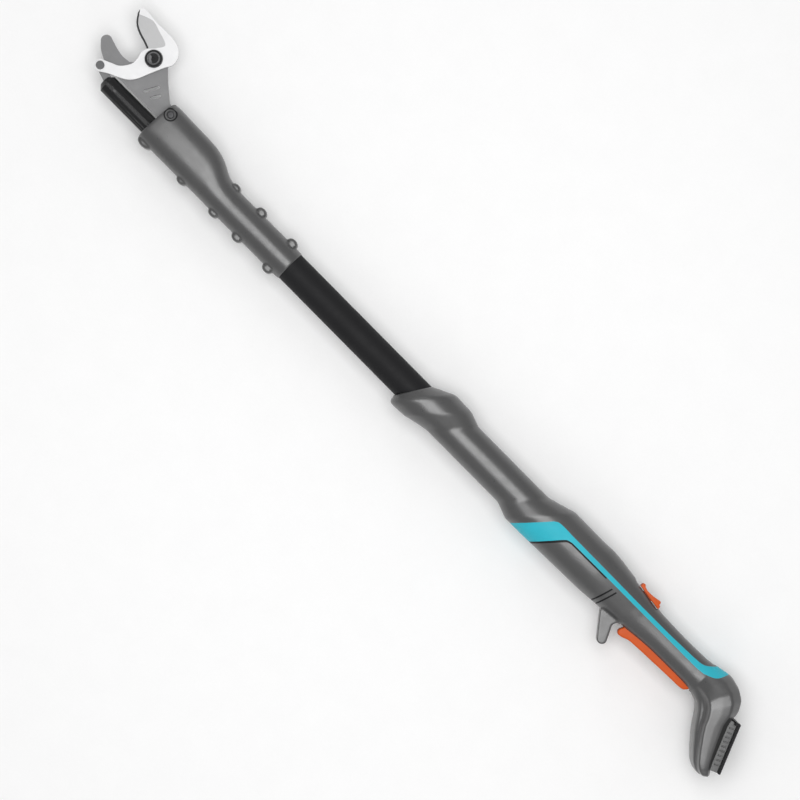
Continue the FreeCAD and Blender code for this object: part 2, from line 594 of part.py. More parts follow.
def build_handle():
    """Both halves of the handle with the coloured inlays set into them."""
    names = [station[0] for station in HANDLE_STATIONS]
    skin = loft("handle_skin", names)
    inner_skin = loft("handle_inner_skin", names, "inlay_depth")
    plan = foot_plan("foot_plan", 0)
    room_plan = foot_plan("foot_room_plan", cell("shell_wall"))
    foot = common("foot", prism("foot_side", FOOT_OUTLINE, "dock_half_width"), plan)
    stop = prism("finger_stop_blank", STOP_OUTLINE, "9")
    solid = fuse("handle_solid", skin, foot, stop)
    hollow = loft("handle_hollow", HOLLOW_STATIONS, "shell_wall")
    sleeve_bore = cylinder("sleeve_bore", "x", "pole_rear_x - 12", "0", "0", "sleeve_bore_r", WHOLE)
    foot_hollow = common(
        "foot_hollow", prism("foot_hollow_side", FOOT_HOLLOW, "dock_half_width"), room_plan)
    trigger_slot = box(
        "trigger_slot", ("-674", "-563"), ("3", "40"),
        ("-trigger_half_width - fit_gap", "trigger_half_width + fit_gap"))
    slider_slot = box(
        "slider_slot", ("slider_front_x - slider_length / 2 - slider_stem_length / 2 - 1",
                        "slider_front_x - slider_length / 2 + slider_stem_length / 2 + slider_travel + 1"),
        ("-40", "-14"), ("-slider_stem_half - fit_gap", "slider_stem_half + fit_gap"))
    slider_seat = box(
        "slider_seat", ("slider_front_x - slider_length - 1", "slider_front_x + slider_travel + 1"),
        ("-40", "slider_base_y + 0.3"), ("-slider_half_width - 1", "slider_half_width + 1"))
    pin_hole = cylinder(
        "trigger_pin_hole", "z", "trigger_pivot_x", "trigger_pivot_y", "-trigger_pin_length / 2",
        "trigger_pin_r", "trigger_pin_length")
    cam_hole = cylinder("lever_cam_hole", "z", "lever_pivot_x", "0", "-40", "lever_pivot_r + fit_gap", "22")
    screw_holes = []
    screws = []
    for index, (x, y, low, long) in enumerate(HANDLE_SCREWS, 1):
        screws.append(screw(f"handle_screw_{index}", x, y, low, long))
        screw_holes.append(cylinder(f"handle_screw_hole_{index}", "z", x, y, low, "screw_r", f"{long} + 2.4"))
        screw_holes.append(cylinder(
            f"handle_screw_seat_{index}", "z", x, y, f"{low} - 12", "screw_head_r", "12 + screw_head_height"))
    pillars = fuse("handle_pillars", *[
        cylinder(f"handle_pillar_{index}", "z", x, y, "-40", "screw_r + 2", "80")
        for index, (x, y, low, long) in enumerate(HANDLE_SCREWS, 1)])
    rooms = cut("handle_rooms", fuse("handle_hollows", hollow, foot_hollow), pillars)
    tools = [rooms, sleeve_bore, trigger_slot, slider_slot, slider_seat, pin_hole, cam_hole]
    holes = fuse("handle_screw_holes", *screw_holes)
    shell = carve("handle_shell", solid, *tools, holes)
    band = cut("inlay_band", skin, inner_skin)
    inlay = common("inlay", prism("inlay_prism", INLAY_OUTLINE, "45"), band)
    for side, span in (("left", ("0", WHOLE)), ("right", ("-" + WHOLE, "0"))):
        half = box(f"handle_half_{side}", ("-2 * " + WHOLE, WHOLE), ("-" + WHOLE, WHOLE), span)
        nodes[f"inlay_{side}"] = common(f"inlay_{side}", inlay, half)
        nodes[f"handle_shell_{side}"] = cut(
            f"handle_shell_{side}", common(f"handle_whole_{side}", shell, half), nodes[f"inlay_{side}"])
    nodes["handle_screws"] = group("handle_screws", *screws)


FOOT_HOLLOW = outline(
    (-674, 8),
    ("line", (-690, 20)),
    ("line", (-734, 69)),
    ("line", (-744, 70.5)),
    ("line", (-747, 63.5)),
    ("line", (-724, 8)),
    ("line", (-722.5, -5)),
    ("line", (-713, -17.5)),
    ("line", (-690, -23)),
    ("line", (-674, -17)))
# Handle screws: (x, y, where the head starts, shank length); heads are on the right half.
HANDLE_SCREWS = [
    (-226, 23.2, "-12", "20"),
    (-250, -25.5, "-12", "20"),
    (-452, 24.8, "-12", "20"),
    (-500, 22.4, "-12", "20"),
    (-500, -30.2, "-12", "20"),
    (-592, -19.0, "-9", "15"),
    (-645, -18.6, "-9", "15"),
    (-694, -22.4, "-12", "20"),
    (-738, 63.5, "-24", "30"),
]


DOCK_FLANGE = 9.2    # from the foot's rear face to the near side of the dock's rails
DOCK_FACE = 12.2     # from the foot's rear face to the face that the battery lies on


def build_dock():
    """The battery dock: a rail plate with side grooves, and its contact blades."""
    top = Vector(*DOCK_TOP, 0)
    bottom = Vector(*DOCK_BOTTOM, 0)
    along = (bottom - top).normalize()
    out = Vector(-along.y, along.x, 0)
    if out.x > 0:
        out = out * -1

    def slab(near, far, low, high, half):
        """A slab between two distances from the foot's face and two along it."""
        corners = [top + out * d + along * a for d, a in ((near, low), (far, low), (far, high), (near, high))]
        face = Part.Face(Part.makePolygon([c + Vector(0, 0, -half) for c in corners + corners[:1]]))
        return face.extrude(Vector(0, 0, 2 * half))

    length = (bottom - top).Length
    stem = slab(0, (DOCK_FLANGE + DOCK_FACE) / 2, 2, length, 24)
    flange = slab(DOCK_FLANGE, DOCK_FACE, 2, length, 33)
    stop = slab(0, DOCK_FACE, 0.3, 4.5, 33)
    groove = slab(DOCK_FLANGE - 2, DOCK_FACE + 2, 14, length + 1, 9)
    dock = doc.addObject("Part::Feature", "battery_dock")
    dock.Shape = stem.fuse([flange, stop]).cut(groove).removeSplitter()
    dock.Placement = FreeCAD.Placement(Vector(cell("axis_x"), cell("axis_y"), cell("axis_z")), Rotation())
    nodes["battery_dock"] = dock
    blades = []
    for z in (-6, -2, 2, 6):
        blade = slab(DOCK_FLANGE - 2, DOCK_FACE - 1, 18, 34, 0.4)
        blade.translate(Vector(0, 0, z))
        blades.append(blade)
    contacts = doc.addObject("Part::Feature", "battery_contacts")
    contacts.Shape = Part.makeCompound(blades)
    contacts.Placement = dock.Placement
    nodes["battery_contacts"] = contacts


def build_controls():
    """Trigger, lock slider, clamp lever, and the electronics that they work."""
    at = ("trigger_pivot_x", "trigger_pivot_y")
    trigger = outline(
        (-672, 15.5),
        ("curve", (-668, 20.5), (-662, 22.3), (-650, 22.6)),
        ("line", (-600, 24.6)),
        ("curve", (-584, 25.8), (-576, 28.6), (-570.5, 29.6)),
        ("arc", (-567.0, 27.0), (-567.6, 22.0)),
        ("line", (-571, 13)),
        ("line", (-600, 9)),
        ("line", (-655, 5)),
        ("arc", (-667, 3.5), (-671, 9)))
    blank = sketched(
        "trigger_blank", trigger + [circle(cell(at[0]), cell(at[1]), cell("trigger_pin_r") + cell("running_gap"))],
        "-trigger_half_width", "2 * trigger_half_width")
    room = box("trigger_room", ("-650", "-606"), ("0", "18"), ("-trigger_half_width + 2", "trigger_half_width - 2"))
    nodes["trigger"] = cut("trigger", blank, room)
    nodes["trigger_pin"] = cylinder(
        "trigger_pin", "z", *at, "-trigger_pin_length / 2", "trigger_pin_r", "trigger_pin_length")
    nodes["trigger_spring"] = ring("trigger_spring", "y", "-640", "-11.9", "0", "3.4", "2.4", "29.8")
    nodes["trigger_switch"] = fuse(
        "trigger_switch",
        box("switch_case", ("-622", "-594"), ("-9", "-2"), ("-5", "5")),
        box("switch_plunger", ("-602", "-598"), ("-2", "2.6"), ("-2", "2")))
    nodes["control_board"] = box("control_board", ("-650", "-590"), ("-13.6", "-12"), ("-10", "10"))
    cap = box(
        "slider_cap", ("slider_front_x - slider_length", "slider_front_x"), ("slider_top_y", "slider_base_y"),
        ("-slider_half_width", "slider_half_width"))
    stem = box(
        "slider_stem", ("slider_front_x - slider_length / 2 - slider_stem_length / 2",
                        "slider_front_x - slider_length / 2 + slider_stem_length / 2"),
        ("slider_base_y", "slider_stem_y"), ("-slider_stem_half", "slider_stem_half"))
    nodes["lock_slider"] = fuse("lock_slider", cap, stem)
    nodes["lock_spring"] = ring("lock_spring", "x", "-555.9", "-22", "0", "2.6", "1.8", "14")
    lever = slot_plate()
    shaft = cylinder(
        "lever_shaft", "z", "lever_pivot_x", "0", "lever_low_z", "lever_pivot_r",
        "-sleeve_bore_r - lever_low_z - 1")
    nodes["clamp_lever"] = fuse("clamp_lever", lever, shaft)
    nodes["clamp_shoe"] = cylinder(
        "clamp_shoe", "z", "lever_pivot_x", "0", "-sleeve_bore_r - 0.8", "lever_pivot_r",
        "sleeve_bore_r + 0.8 - pole_r - running_gap")


def slot_plate():
    """The flat arm of the clamp lever, which lies along the sleeve."""
    front = cell("lever_pivot_x")
    rear = front - cell("lever_reach")
    half = cell("lever_width") / 2
    return sketched("lever_plate", slot((rear, 0), (front, 0), half), "lever_low_z", "lever_thick")


build_pole()
build_head()
build_drive()
build_jaws()
build_handle()
build_dock()
build_controls()
doc.recompute()

for item in doc.Objects:
    if "Invalid" in item.State or "Error" in item.State:
        raise RuntimeError(f"{item.Name} failed: {item.State}")
os.makedirs("parts", exist_ok=True)
for name, item in nodes.items():
    item.Label = name
    shape = item.Shape
    if shape.isNull() or not shape.isValid() or not shape.Solids:
        raise RuntimeError(f"{name} is not a valid solid")
    if item.TypeId == "PartDesign::Body" and item.Tip is None:
        raise RuntimeError(f"{name} has no tip")
    shape.exportStep(f"parts/{name}.step")
    print(f"{name}: {len(shape.Solids)} solids, {shape.Volume / 1000:.2f} cm3")
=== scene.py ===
"""Looks of the telescoping pole pruner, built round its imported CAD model.

Sizes are in millimetres from the pole's axis: x towards the cutting head, y towards the
trigger side, z up towards the left half. metres() turns such a point into the frame's own.
"""

import math

import bmesh
import bpy
from mathutils import Matrix, Vector


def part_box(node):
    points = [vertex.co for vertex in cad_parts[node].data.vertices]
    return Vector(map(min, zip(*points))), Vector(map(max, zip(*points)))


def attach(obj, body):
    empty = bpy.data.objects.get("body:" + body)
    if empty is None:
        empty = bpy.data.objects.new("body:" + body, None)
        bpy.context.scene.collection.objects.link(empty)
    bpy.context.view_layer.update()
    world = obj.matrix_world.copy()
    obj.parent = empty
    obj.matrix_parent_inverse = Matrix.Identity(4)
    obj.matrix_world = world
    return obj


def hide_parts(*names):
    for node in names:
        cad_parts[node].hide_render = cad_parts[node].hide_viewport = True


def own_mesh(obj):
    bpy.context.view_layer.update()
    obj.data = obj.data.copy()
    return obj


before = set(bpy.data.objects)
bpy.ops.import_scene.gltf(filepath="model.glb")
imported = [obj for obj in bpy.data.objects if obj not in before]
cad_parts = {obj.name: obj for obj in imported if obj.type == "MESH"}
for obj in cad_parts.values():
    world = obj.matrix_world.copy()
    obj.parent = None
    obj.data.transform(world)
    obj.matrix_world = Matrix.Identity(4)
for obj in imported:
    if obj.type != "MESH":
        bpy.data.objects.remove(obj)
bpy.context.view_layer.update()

MM = 0.001
POLE_FRONT = 32            # x of the pole's front end
pole_low, pole_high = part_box("telescoping_pole")
ORIGIN = Vector((
    pole_high.x - POLE_FRONT * MM, (pole_low.y + pole_high.y) / 2, (pole_low.z + pole_high.z) / 2))
ALONG = {"x": (0, 1, 2), "y": (1, 2, 0), "z": (2, 0, 1)}
FAR = 400                  # reaches past the whole tool
ASIDE = 50                 # reaches past the handle's sides


def metres(point):
    return ORIGIN + Vector(point) * MM


# ---------------------------------------------------------------- mesh tools
def solid(name, points, faces):
    """An object from points in millimetres, with its faces turned outwards."""
    mesh = bpy.data.meshes.new(name)
    mesh.from_pydata([metres(point) for point in points], [], faces)
    shape = bmesh.new()
    shape.from_mesh(mesh)
    bmesh.ops.recalc_face_normals(shape, faces=shape.faces)
    shape.to_mesh(mesh)
    shape.free()
    piece = bpy.data.objects.new(name, mesh)
    bpy.context.scene.collection.objects.link(piece)
    return piece


def loft(name, rings, closed=False):
    """A skin through rings of equally many points: capped at its ends, or joined into a loop."""
    count = len(rings[0])
    faces = []
    spans = len(rings) if closed else len(rings) - 1
    for ring in range(spans):
        here, there = ring * count, (ring + 1) % len(rings) * count
        for k in range(count):
            after = (k + 1) % count
            faces.append((here + k, here + after, there + after, there + k))
    if not closed:
        faces.append(tuple(range(count)))
        faces.append(tuple(range((len(rings) - 1) * count, len(rings) * count)))
    return solid(name, [point for ring in rings for point in ring], faces)


def prism(name, outline, low, high):
    """An outline in x and y, drawn out along z."""
    return loft(name, [[(x, y, z) for x, y in outline] for z in (low, high)])


def block(name, x, y, z):
    """A box between three pairs of sizes."""
    corners = [(x[0], y[0]), (x[1], y[0]), (x[1], y[1]), (x[0], y[1])]
    return prism(name, corners, *z)


def turned(name, along, centre, profile, segments=64, closed=False):
    """A turned piece: profile is (place along the axis, radius) pairs."""
    a, b, c = ALONG[along]
    rings = []
    for place, radius in profile:
        ring = []
        for k in range(segments):
            angle = 2 * math.pi * k / segments
            point = [0, 0, 0]
            point[a] = centre[a] + place
            point[b] = centre[b] + radius * math.cos(angle)
            point[c] = centre[c] + radius * math.sin(angle)
            ring.append(point)
        rings.append(ring)
    return loft(name, rings, closed)


def rod(name, along, centre, radius, low, high, segments=64):
    return turned(name, along, centre, [(low, radius), (high, radius)], segments)


def apply(piece):
    """Fix a piece's modifiers in its mesh."""
    graph = bpy.context.evaluated_depsgraph_get()
    mesh = bpy.data.meshes.new_from_object(piece.evaluated_get(graph))
    piece.modifiers.clear()
    piece.data = mesh
    return piece


def combine(piece, how, *tools, keep=False):
    """Cut tools out of a piece, keep what they share with it, or join them to it."""
    for tool in tools:
        modifier = piece.modifiers.new("combine", "BOOLEAN")
        modifier.operation = how
        modifier.solver = "MANIFOLD"
        modifier.object = tool
        apply(piece)
        if not keep:
            bpy.data.objects.remove(tool)
    return piece


def copy(piece, name):
    twin = piece.copy()
    twin.data = piece.data.copy()
    twin.name = name
    bpy.context.scene.collection.objects.link(twin)
    return twin


def join(name, pieces):
    """Several overlapping solids as one object, before it is remeshed."""
    shape = bmesh.new()
    for piece in pieces:
        shape.from_mesh(piece.data)
        bpy.data.objects.remove(piece)
    mesh = bpy.data.meshes.new(name)
    shape.to_mesh(mesh)
    shape.free()
    joined = bpy.data.objects.new(name, mesh)
    bpy.context.scene.collection.objects.link(joined)
    return joined


def moulded(piece, voxel, passes):
    """Unite overlapping solids and round their meeting edges, as a mould does."""
    remesh = piece.modifiers.new("unite", "REMESH")
    remesh.mode = "VOXEL"
    remesh.voxel_size = voxel * MM
    soften = piece.modifiers.new("soften", "SMOOTH")
    soften.factor = 0.5
    soften.iterations = passes
    return apply(piece)


def shade(piece, angle=35):
    """Smooth shading that breaks at edges sharper than an angle."""
    mesh = piece.data
    mesh.polygons.foreach_set("use_smooth", [True] * len(mesh.polygons))
    mesh.set_sharp_from_angle(angle=math.radians(angle))
    return piece


def rounded(piece, width, segments=3, angle=40):
    """Break a piece's edges with a small round."""
    bevel = piece.modifiers.new("edges", "BEVEL")
    bevel.width = width * MM
    bevel.segments = segments
    bevel.limit_method = "ANGLE"
    bevel.angle_limit = math.radians(angle)
    bevel.use_clamp_overlap = True
    return piece


def spline(points, steps=8):
    """Points along a smooth curve through a few points."""
    ends = [2 * Vector(points[0]) - Vector(points[1])] + [Vector(p) for p in points]
    ends.append(2 * ends[-1] - ends[-2])
    found = []
    for k in range(1, len(ends) - 2):
        p0, p1, p2, p3 = ends[k - 1:k + 3]
        for step in range(steps):
            t = step / steps
            found.append(0.5 * (2 * p1 + (p2 - p0) * t + (2 * p0 - 5 * p1 + 4 * p2 - p3) * t ** 2
                                + (3 * p1 - p0 - 3 * p2 + p3) * t ** 3))
    return [tuple(p) for p in found] + [tuple(points[-1])]


def arc(first, middle, last, steps=10):
    """Points of the arc through three points."""
    (ax, ay), (bx, by), (cx, cy) = first, middle, last
    twice = 2 * (ax * (by - cy) + bx * (cy - ay) + cx * (ay - by))
    a2, b2, c2 = ax ** 2 + ay ** 2, bx ** 2 + by ** 2, cx ** 2 + cy ** 2
    x = (a2 * (by - cy) + b2 * (cy - ay) + c2 * (ay - by)) / twice
    y = (a2 * (cx - bx) + b2 * (ax - cx) + c2 * (bx - ax)) / twice
    radius = math.dist((x, y), first)
    start, through, end = (math.atan2(p[1] - y, p[0] - x) for p in (first, middle, last))
    turn = (end - start) % (2 * math.pi)
    if (through - start) % (2 * math.pi) > turn:
        turn -= 2 * math.pi
    angles = [start + turn * k / steps for k in range(steps + 1)]
    return [(x + radius * math.cos(a), y + radius * math.sin(a)) for a in angles]


def outline(start, *moves):
    """A closed outline's points. A move is ("line", end), ("arc", middle, end) or ("curve", points...)."""
    points = [start]
    for kind, *ends in moves:
        if kind == "line":
            points.append(ends[0])
        elif kind == "arc":
            points += arc(points[-1], *ends)[1:]
        else:
            points += spline([points[-1]] + ends)[1:]
    if math.dist(points[0], points[-1]) < 0.01:
        points.pop()
    return points


def capsule(first, second, radius, steps=14):
    """The outline of a slot between two centres."""
    forward = math.atan2(second[1] - first[1], second[0] - first[0])
    points = []
    for centre, start in ((second, forward - math.pi / 2), (first, forward + math.pi / 2)):
        for k in range(steps + 1):
            angle = start + math.pi * k / steps
            points.append((centre[0] + radius * math.cos(angle), centre[1] + radius * math.sin(angle)))
    return points


def islands(node):
    """The lowest and highest corners of each separate solid of a CAD node, in millimetres."""
    shape = bmesh.new()
    shape.from_mesh(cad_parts[node].data)
    bmesh.ops.remove_doubles(shape, verts=shape.verts, dist=1e-6)
    left = set(shape.verts)
    found = []
    while left:
        stack = [left.pop()]
        group = list(stack)
        while stack:
            for edge in stack.pop().link_edges:
                for vertex in edge.verts:
                    if vertex in left:
                        left.remove(vertex)
                        stack.append(vertex)
                        group.append(vertex)
        points = [(vertex.co - ORIGIN) / MM for vertex in group]
        low = Vector(min(p[k] for p in points) for k in range(3))
        high = Vector(max(p[k] for p in points) for k in range(3))
        found.append((low, high))
    shape.free()
    return sorted(found, key=lambda box: box[0].x)


def middles(node):
    """The middle of each separate solid of a CAD node, in millimetres."""
    return [(low + high) / 2 for low, high in islands(node)]


def place(piece, body, slot, *nodes):
    """Give a piece its finish, hang it on its CAD body, and hide the CAD nodes it stands for."""
    piece.data.materials.clear()
    piece.data.materials.append(FINISHES[slot])
    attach(piece, body)
    if nodes:
        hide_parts(*nodes)
    return piece


# ---------------------------------------------------------------- finishes
class Graph:
    """A material's nodes, added one call at a time."""

    def __init__(self, name):
        self.material = bpy.data.materials.new(name)
        self.material.use_nodes = True
        self.tree = self.material.node_tree
        self.shader = self.tree.nodes["Principled BSDF"]

    def add(self, kind, inputs=None, **settings):
        node = self.tree.nodes.new(kind)
        for key, value in settings.items():
            setattr(node, key, value)
        for key, value in (inputs or {}).items():
            self.put(node.inputs[key], value)
        return node

    def put(self, socket, value):
        if isinstance(value, bpy.types.NodeSocket):
            self.tree.links.new(value, socket)
        else:
            socket.default_value = value

    def math(self, operation, *values):
        return self.add("ShaderNodeMath", dict(enumerate(values)), operation=operation).outputs[0]

    def mix(self, factor, first, second):
        node = self.add("ShaderNodeMix", {0: factor, 6: first, 7: second}, data_type="RGBA")
        return node.outputs[2]

    def span(self, value, low, high, to_low, to_high):
        node = self.add("ShaderNodeMapRange", {0: value, 1: low, 2: high, 3: to_low, 4: to_high})
        return node.outputs[0]

    def noise(self, vector, scale, detail=3.0, rough=0.55):
        node = self.add("ShaderNodeTexNoise", {
            "Vector": vector, "Scale": scale, "Detail": detail, "Roughness": rough})
        return node.outputs["Fac"]


def shifted(colour, share):
    """A colour made lighter or darker by a share."""
    return tuple(min(1.0, c * (1 + share)) for c in colour) + (1.0,)


def finish(name, colour, roughness, metallic=0.0, variation=0.08, grain=0.45, grain_depth=0.05,
           stretch=(1, 1, 1), scratches=0.0, wear=0.5, wear_colour=None, wear_radius=0.6, specular=0.5,
           smudge=0.08):
    """A procedural finish: blotchy colour, grain, brushed scratches, smudged gloss and worn edges."""
    graph = Graph(name)
    here = graph.add("ShaderNodeTexCoord").outputs["Object"]
    stretched = graph.add("ShaderNodeMapping", {"Vector": here, "Scale": stretch}).outputs[0]
    blotch = graph.noise(here, 24.0, 4.0, 0.6)
    cloud = graph.noise(here, 110.0, 3.0, 0.6)
    fine = graph.noise(stretched, 1000.0 / grain, 2.0, 0.5)
    tone = graph.math("ADD", graph.math("MULTIPLY", blotch, 0.6), graph.math("MULTIPLY", fine, 0.4))
    dark, light = shifted(colour, -variation), shifted(colour, variation)
    body = graph.mix(graph.span(tone, 0.35, 0.65, 0.0, 1.0), dark, light)
    edge_normal = graph.add("ShaderNodeBevel", {"Radius": wear_radius * MM}, samples=4).outputs[0]
    true_normal = graph.add("ShaderNodeNewGeometry").outputs["Normal"]
    facing = graph.add("ShaderNodeVectorMath", {0: edge_normal, 1: true_normal}, operation="DOT_PRODUCT")
    edge = graph.span(facing.outputs["Value"], 0.998, 0.90, 0.0, 1.0)
    patchy = graph.math("MULTIPLY", edge, graph.span(cloud, 0.35, 0.6, 0.15, 1.0))
    worn = graph.math("MULTIPLY", patchy, wear)
    if scratches:
        slanted = graph.add("ShaderNodeMapping", {
            "Vector": here, "Rotation": (0.0, 0.0, 0.5), "Scale": (90.0, 2600.0, 400.0)}).outputs[0]
        lines = graph.noise(slanted, 1.0, 1.0, 0.5)
        marks = graph.math("MULTIPLY", graph.span(lines, 0.70, 0.78, 0.0, 1.0), scratches)
        worn = graph.math("MAXIMUM", worn, marks)
    bright = wear_colour + (1.0,) if wear_colour else shifted(colour, 0.7)
    graph.put(graph.shader.inputs["Base Color"], graph.mix(worn, body, bright))
    gloss = graph.math("ADD", graph.math("MULTIPLY", cloud, 0.5), graph.math("MULTIPLY", fine, 0.5))
    graph.put(graph.shader.inputs["Roughness"], graph.span(
        gloss, 0.3, 0.7, max(0.03, roughness - smudge), min(1.0, roughness + smudge)))
    graph.shader.inputs["Metallic"].default_value = metallic
    graph.shader.inputs["Specular IOR Level"].default_value = specular
    bump = graph.add("ShaderNodeBump", {"Height": fine, "Strength": 0.6, "Distance": grain_depth * MM})
    graph.put(graph.shader.inputs["Normal"], bump.outputs[0])
    return graph.material


FINISHES = {
    "housing_grey": finish("housing_grey", (0.047, 0.047, 0.0475), 0.33, wear=0.25, grain=0.5,
                           grain_depth=0.035, specular=1.0),
    "inlay_turquoise": finish("inlay_turquoise", (0.030, 0.42, 0.52), 0.5, wear=0.3, grain=0.5,
                              grain_depth=0.03, specular=0.2),
    "control_orange": finish("control_orange", (0.56, 0.080, 0.006), 0.44, wear=0.35, grain=0.5,
                             grain_depth=0.03, specular=0.22),
    "lever_black": finish("lever_black", (0.020, 0.020, 0.021), 0.45, wear=0.4, grain=0.5),
    "screw_steel": finish("screw_steel", (0.045, 0.045, 0.047), 0.38, 0.6, wear=0.5, scratches=0.25),
    "pole_black": finish("pole_black", (0.010, 0.010, 0.011), 0.62, wear=0.4, grain=0.3, grain_depth=0.02,
                         stretch=(0.12, 1, 1), scratches=0.12, specular=0.2),
    "bush_plastic": finish("bush_plastic", (0.035, 0.035, 0.037), 0.5),
    "plate_steel": finish("plate_steel", (0.185, 0.185, 0.188), 0.50, 0.25, variation=0.1, wear=0.6,
                          grain=0.3, stretch=(0.1, 1, 1), scratches=0.3),
    "blade_steel": finish("blade_steel", (0.66, 0.66, 0.665), 0.50, 0.4, variation=0.03, wear=0.3,
                          grain=0.3, stretch=(0.08, 1, 1), scratches=0.25, grain_depth=0.02),
    # Ground steel for the blade's cheek: real grinding lines, with the colour darkened as painted shade for
    # the cheek's tilt.
    "ground_steel_and_shade": finish("ground_steel_and_shade", (0.42, 0.42, 0.423), 0.44, 0.4, variation=0.05, wear=0.2,
                           grain=0.22, stretch=(1, 0.08, 1), scratches=0.35, grain_depth=0.03),
    # Near-black honed edge: painted shade, standing in for the dark reflection along the edge bevel.
    "honed_edge_shade": finish("honed_edge_shade", (0.07, 0.07, 0.072), 0.35, 0.6, variation=0.1, wear=0.1, grain=0.2,
                         stretch=(1, 0.1, 1)),
    "bolt_steel": finish("bolt_steel", (0.085, 0.085, 0.087), 0.34, 0.6, wear=0.5, scratches=0.2,
                         wear_colour=(0.2, 0.2, 0.2)),
    "rod_black": finish("rod_black", (0.008, 0.008, 0.0085), 0.22, wear=0.4, grain=0.25, grain_depth=0.03,
                        stretch=(0.06, 1, 1), scratches=0.2, specular=0.35),
    "nut_brass": finish("nut_brass", (0.60, 0.42, 0.17), 0.32, 1.0, scratches=0.2),
    "spindle_steel": finish("spindle_steel", (0.45, 0.45, 0.46), 0.28, 1.0, scratches=0.2),
    "motor_metal": finish("motor_metal", (0.36, 0.36, 0.37), 0.36, 1.0, scratches=0.2),
    "dock_black": finish("dock_black", (0.010, 0.010, 0.011), 0.50, specular=0.2, wear=0.5, scratches=0.15),
    "lead_rubber": finish("lead_rubber", (0.018, 0.018, 0.019), 0.6),
    "board_green": finish("board_green", (0.02, 0.14, 0.05), 0.4),
}

# ---------------------------------------------------------------- handle
# Stations along the handle: the trigger-side end, the top end, and half the width.
HANDLE_STATIONS = [
    ((-193.4, 19.6), (-217.6, -18.6), 20.2),
    ((-195.4, 27.0), (-243.0, -30.8), 28.6),
    ((-199.0, 28.6), (-246.5, -31.2), 29.2),
    ((-218.7, 27.6), (-269.5, -30.4), 28.9),
    ((-222.5, 26.4), (-273.5, -29.4), 28.2),
    ((-246.0, 21.3), (-288.0, -24.2), 23.4),
    ((-250.0, 21.0), (-291.0, -24.0), 23.0),
    ((-345.0, 20.9), (-372.0, -24.0), 23.0),
    ((-365.0, 21.0), (-403.0, -24.1), 23.2),
    ((-384.0, 28.0), (-436.5, -34.0), 28.9),
    ((-410.0, 27.8), (-452.0, -34.0), 29.0),
    ((-470.0, 26.2), (-482.0, -33.8), 28.2),
    ((-501.0, 25.4), (-501.0, -34.6), 27.2),
    ((-514.0, 24.4), (-514.0, -33.5), 26.0),
    ((-529.0, 23.2), (-529.0, -31.6), 24.2),
    ((-543.0, 21.9), (-543.0, -29.6), 22.2),
    ((-560.0, 20.9), (-560.0, -26.8), 19.8),
    ((-573.0, 20.0), (-573.0, -24.8), 18.6),
    ((-588.0, 18.2), (-588.0, -23.3), 18.0),
    ((-606.0, 16.8), (-606.0, -22.6), 17.7),
    ((-626.0, 16.4), (-626.0, -22.2), 17.8),
    ((-646.0, 16.2), (-647.0, -22.4), 18.0),
    ((-660.0, 16.2), (-664.0, -23.0), 18.6),
    ((-672.0, 17.0), (-684.0, -26.0), 19.8),
    ((-681.0, 17.6), (-700.0, -26.6), 20.6),
]
HOLLOW_FIRST = 10           # the station where the handle's hollow begins
RING_POINTS = 96
STATION_STEP = 1.6
WALL = 2.8                  # wall of the moulded housings
SKIN = 1.2                  # how deep the coloured inlays lie

# The foot, from the grip to its lower end: front point, rear point, half width, share of its own profile.
FOOT_STATIONS = [
    ((-670.0, 15.4), (-674.0, -25.2), 18.6, 0.0),
    ((-679.0, 17.8), (-695.0, -29.2), 28.6, 0.48),
    ((-687.0, 20.8), (-709.5, -25.0), 36.0, 0.9),
    ((-693.0, 26.2), (-721.0, -17.4), 38.0, 1.0),
    ((-698.2, 33.2), (-727.8, -5.4), 38.2, 1.0),
    ((-703.2, 40.6), (-729.5, 12.0), 38.2, 1.0),
    ((-708.6, 47.4), (-735.5, 26.5), 38.2, 1.0),
    ((-720.6, 61.2), (-743.3, 45.4), 38.2, 1.0),
    ((-731.0, 71.6), (-748.5, 58.0), 38.2, 1.0),
    ((-738.0, 75.6), (-752.4, 64.8), 37.8, 1.0),
    ((-743.0, 76.8), (-755.6, 67.4), 36.2, 1.0),
    ((-747.0, 76.4), (-756.0, 69.8), 32.5, 1.0),
]
# The foot's half width across it, from its front edge (0) to the dock (1): a low front band,
# a slope, the broad side panel and a slope down to the dock.
FOOT_PROFILE = [
    (0.0, 0.22), (0.025, 0.49), (0.06, 0.60), (0.165, 0.63), (0.185, 0.66), (0.25, 0.95), (0.275, 0.988),
    (0.56, 1.0), (0.76, 0.99), (0.80, 0.965), (1.0, 0.66)]
FOOT_STEPS = 40

STOP_OUTLINE = outline(
    (-531, 16),
    ("curve", (-536.5, 26.0), (-545.9, 38.0), (-556.5, 51.0)),
    ("arc", (-563.5, 51.6), (-566.2, 45.1)),
    ("curve", (-560.5, 33.2), (-557.5, 26.0), (-562, 17)))
INLAY_OUTLINE = outline(
    (-380.9, 40),
    ("line", (-424.5, -9.2)),
    ("curve", (-428.5, -11.8), (-433, -12.7), (-440, -12.9), (-450, -12.6)),
    ("line", (-560, -12.1)),
    ("line", (-610, -12.3)),
    ("line", (-648, -13.5)),
    ("curve", (-662, -15.2), (-672, -21.5), (-679.5, -29), (-684, -38)),
    ("line", (-697, -38)),
    ("curve", (-690, -26), (-682.5, -14.6), (-670, -8.4)),
    ("curve", (-660, -7.2), (-645, -7.0), (-620, -7.0)),
    ("line", (-513, -7.0)),
    ("line", (-457, -6.7)),
    ("curve", (-450.7, -5.0), (-446.7, -1.6), (-442.7, 3.0), (-438.7, 7.8)),
    ("line", (-411.4, 40)))
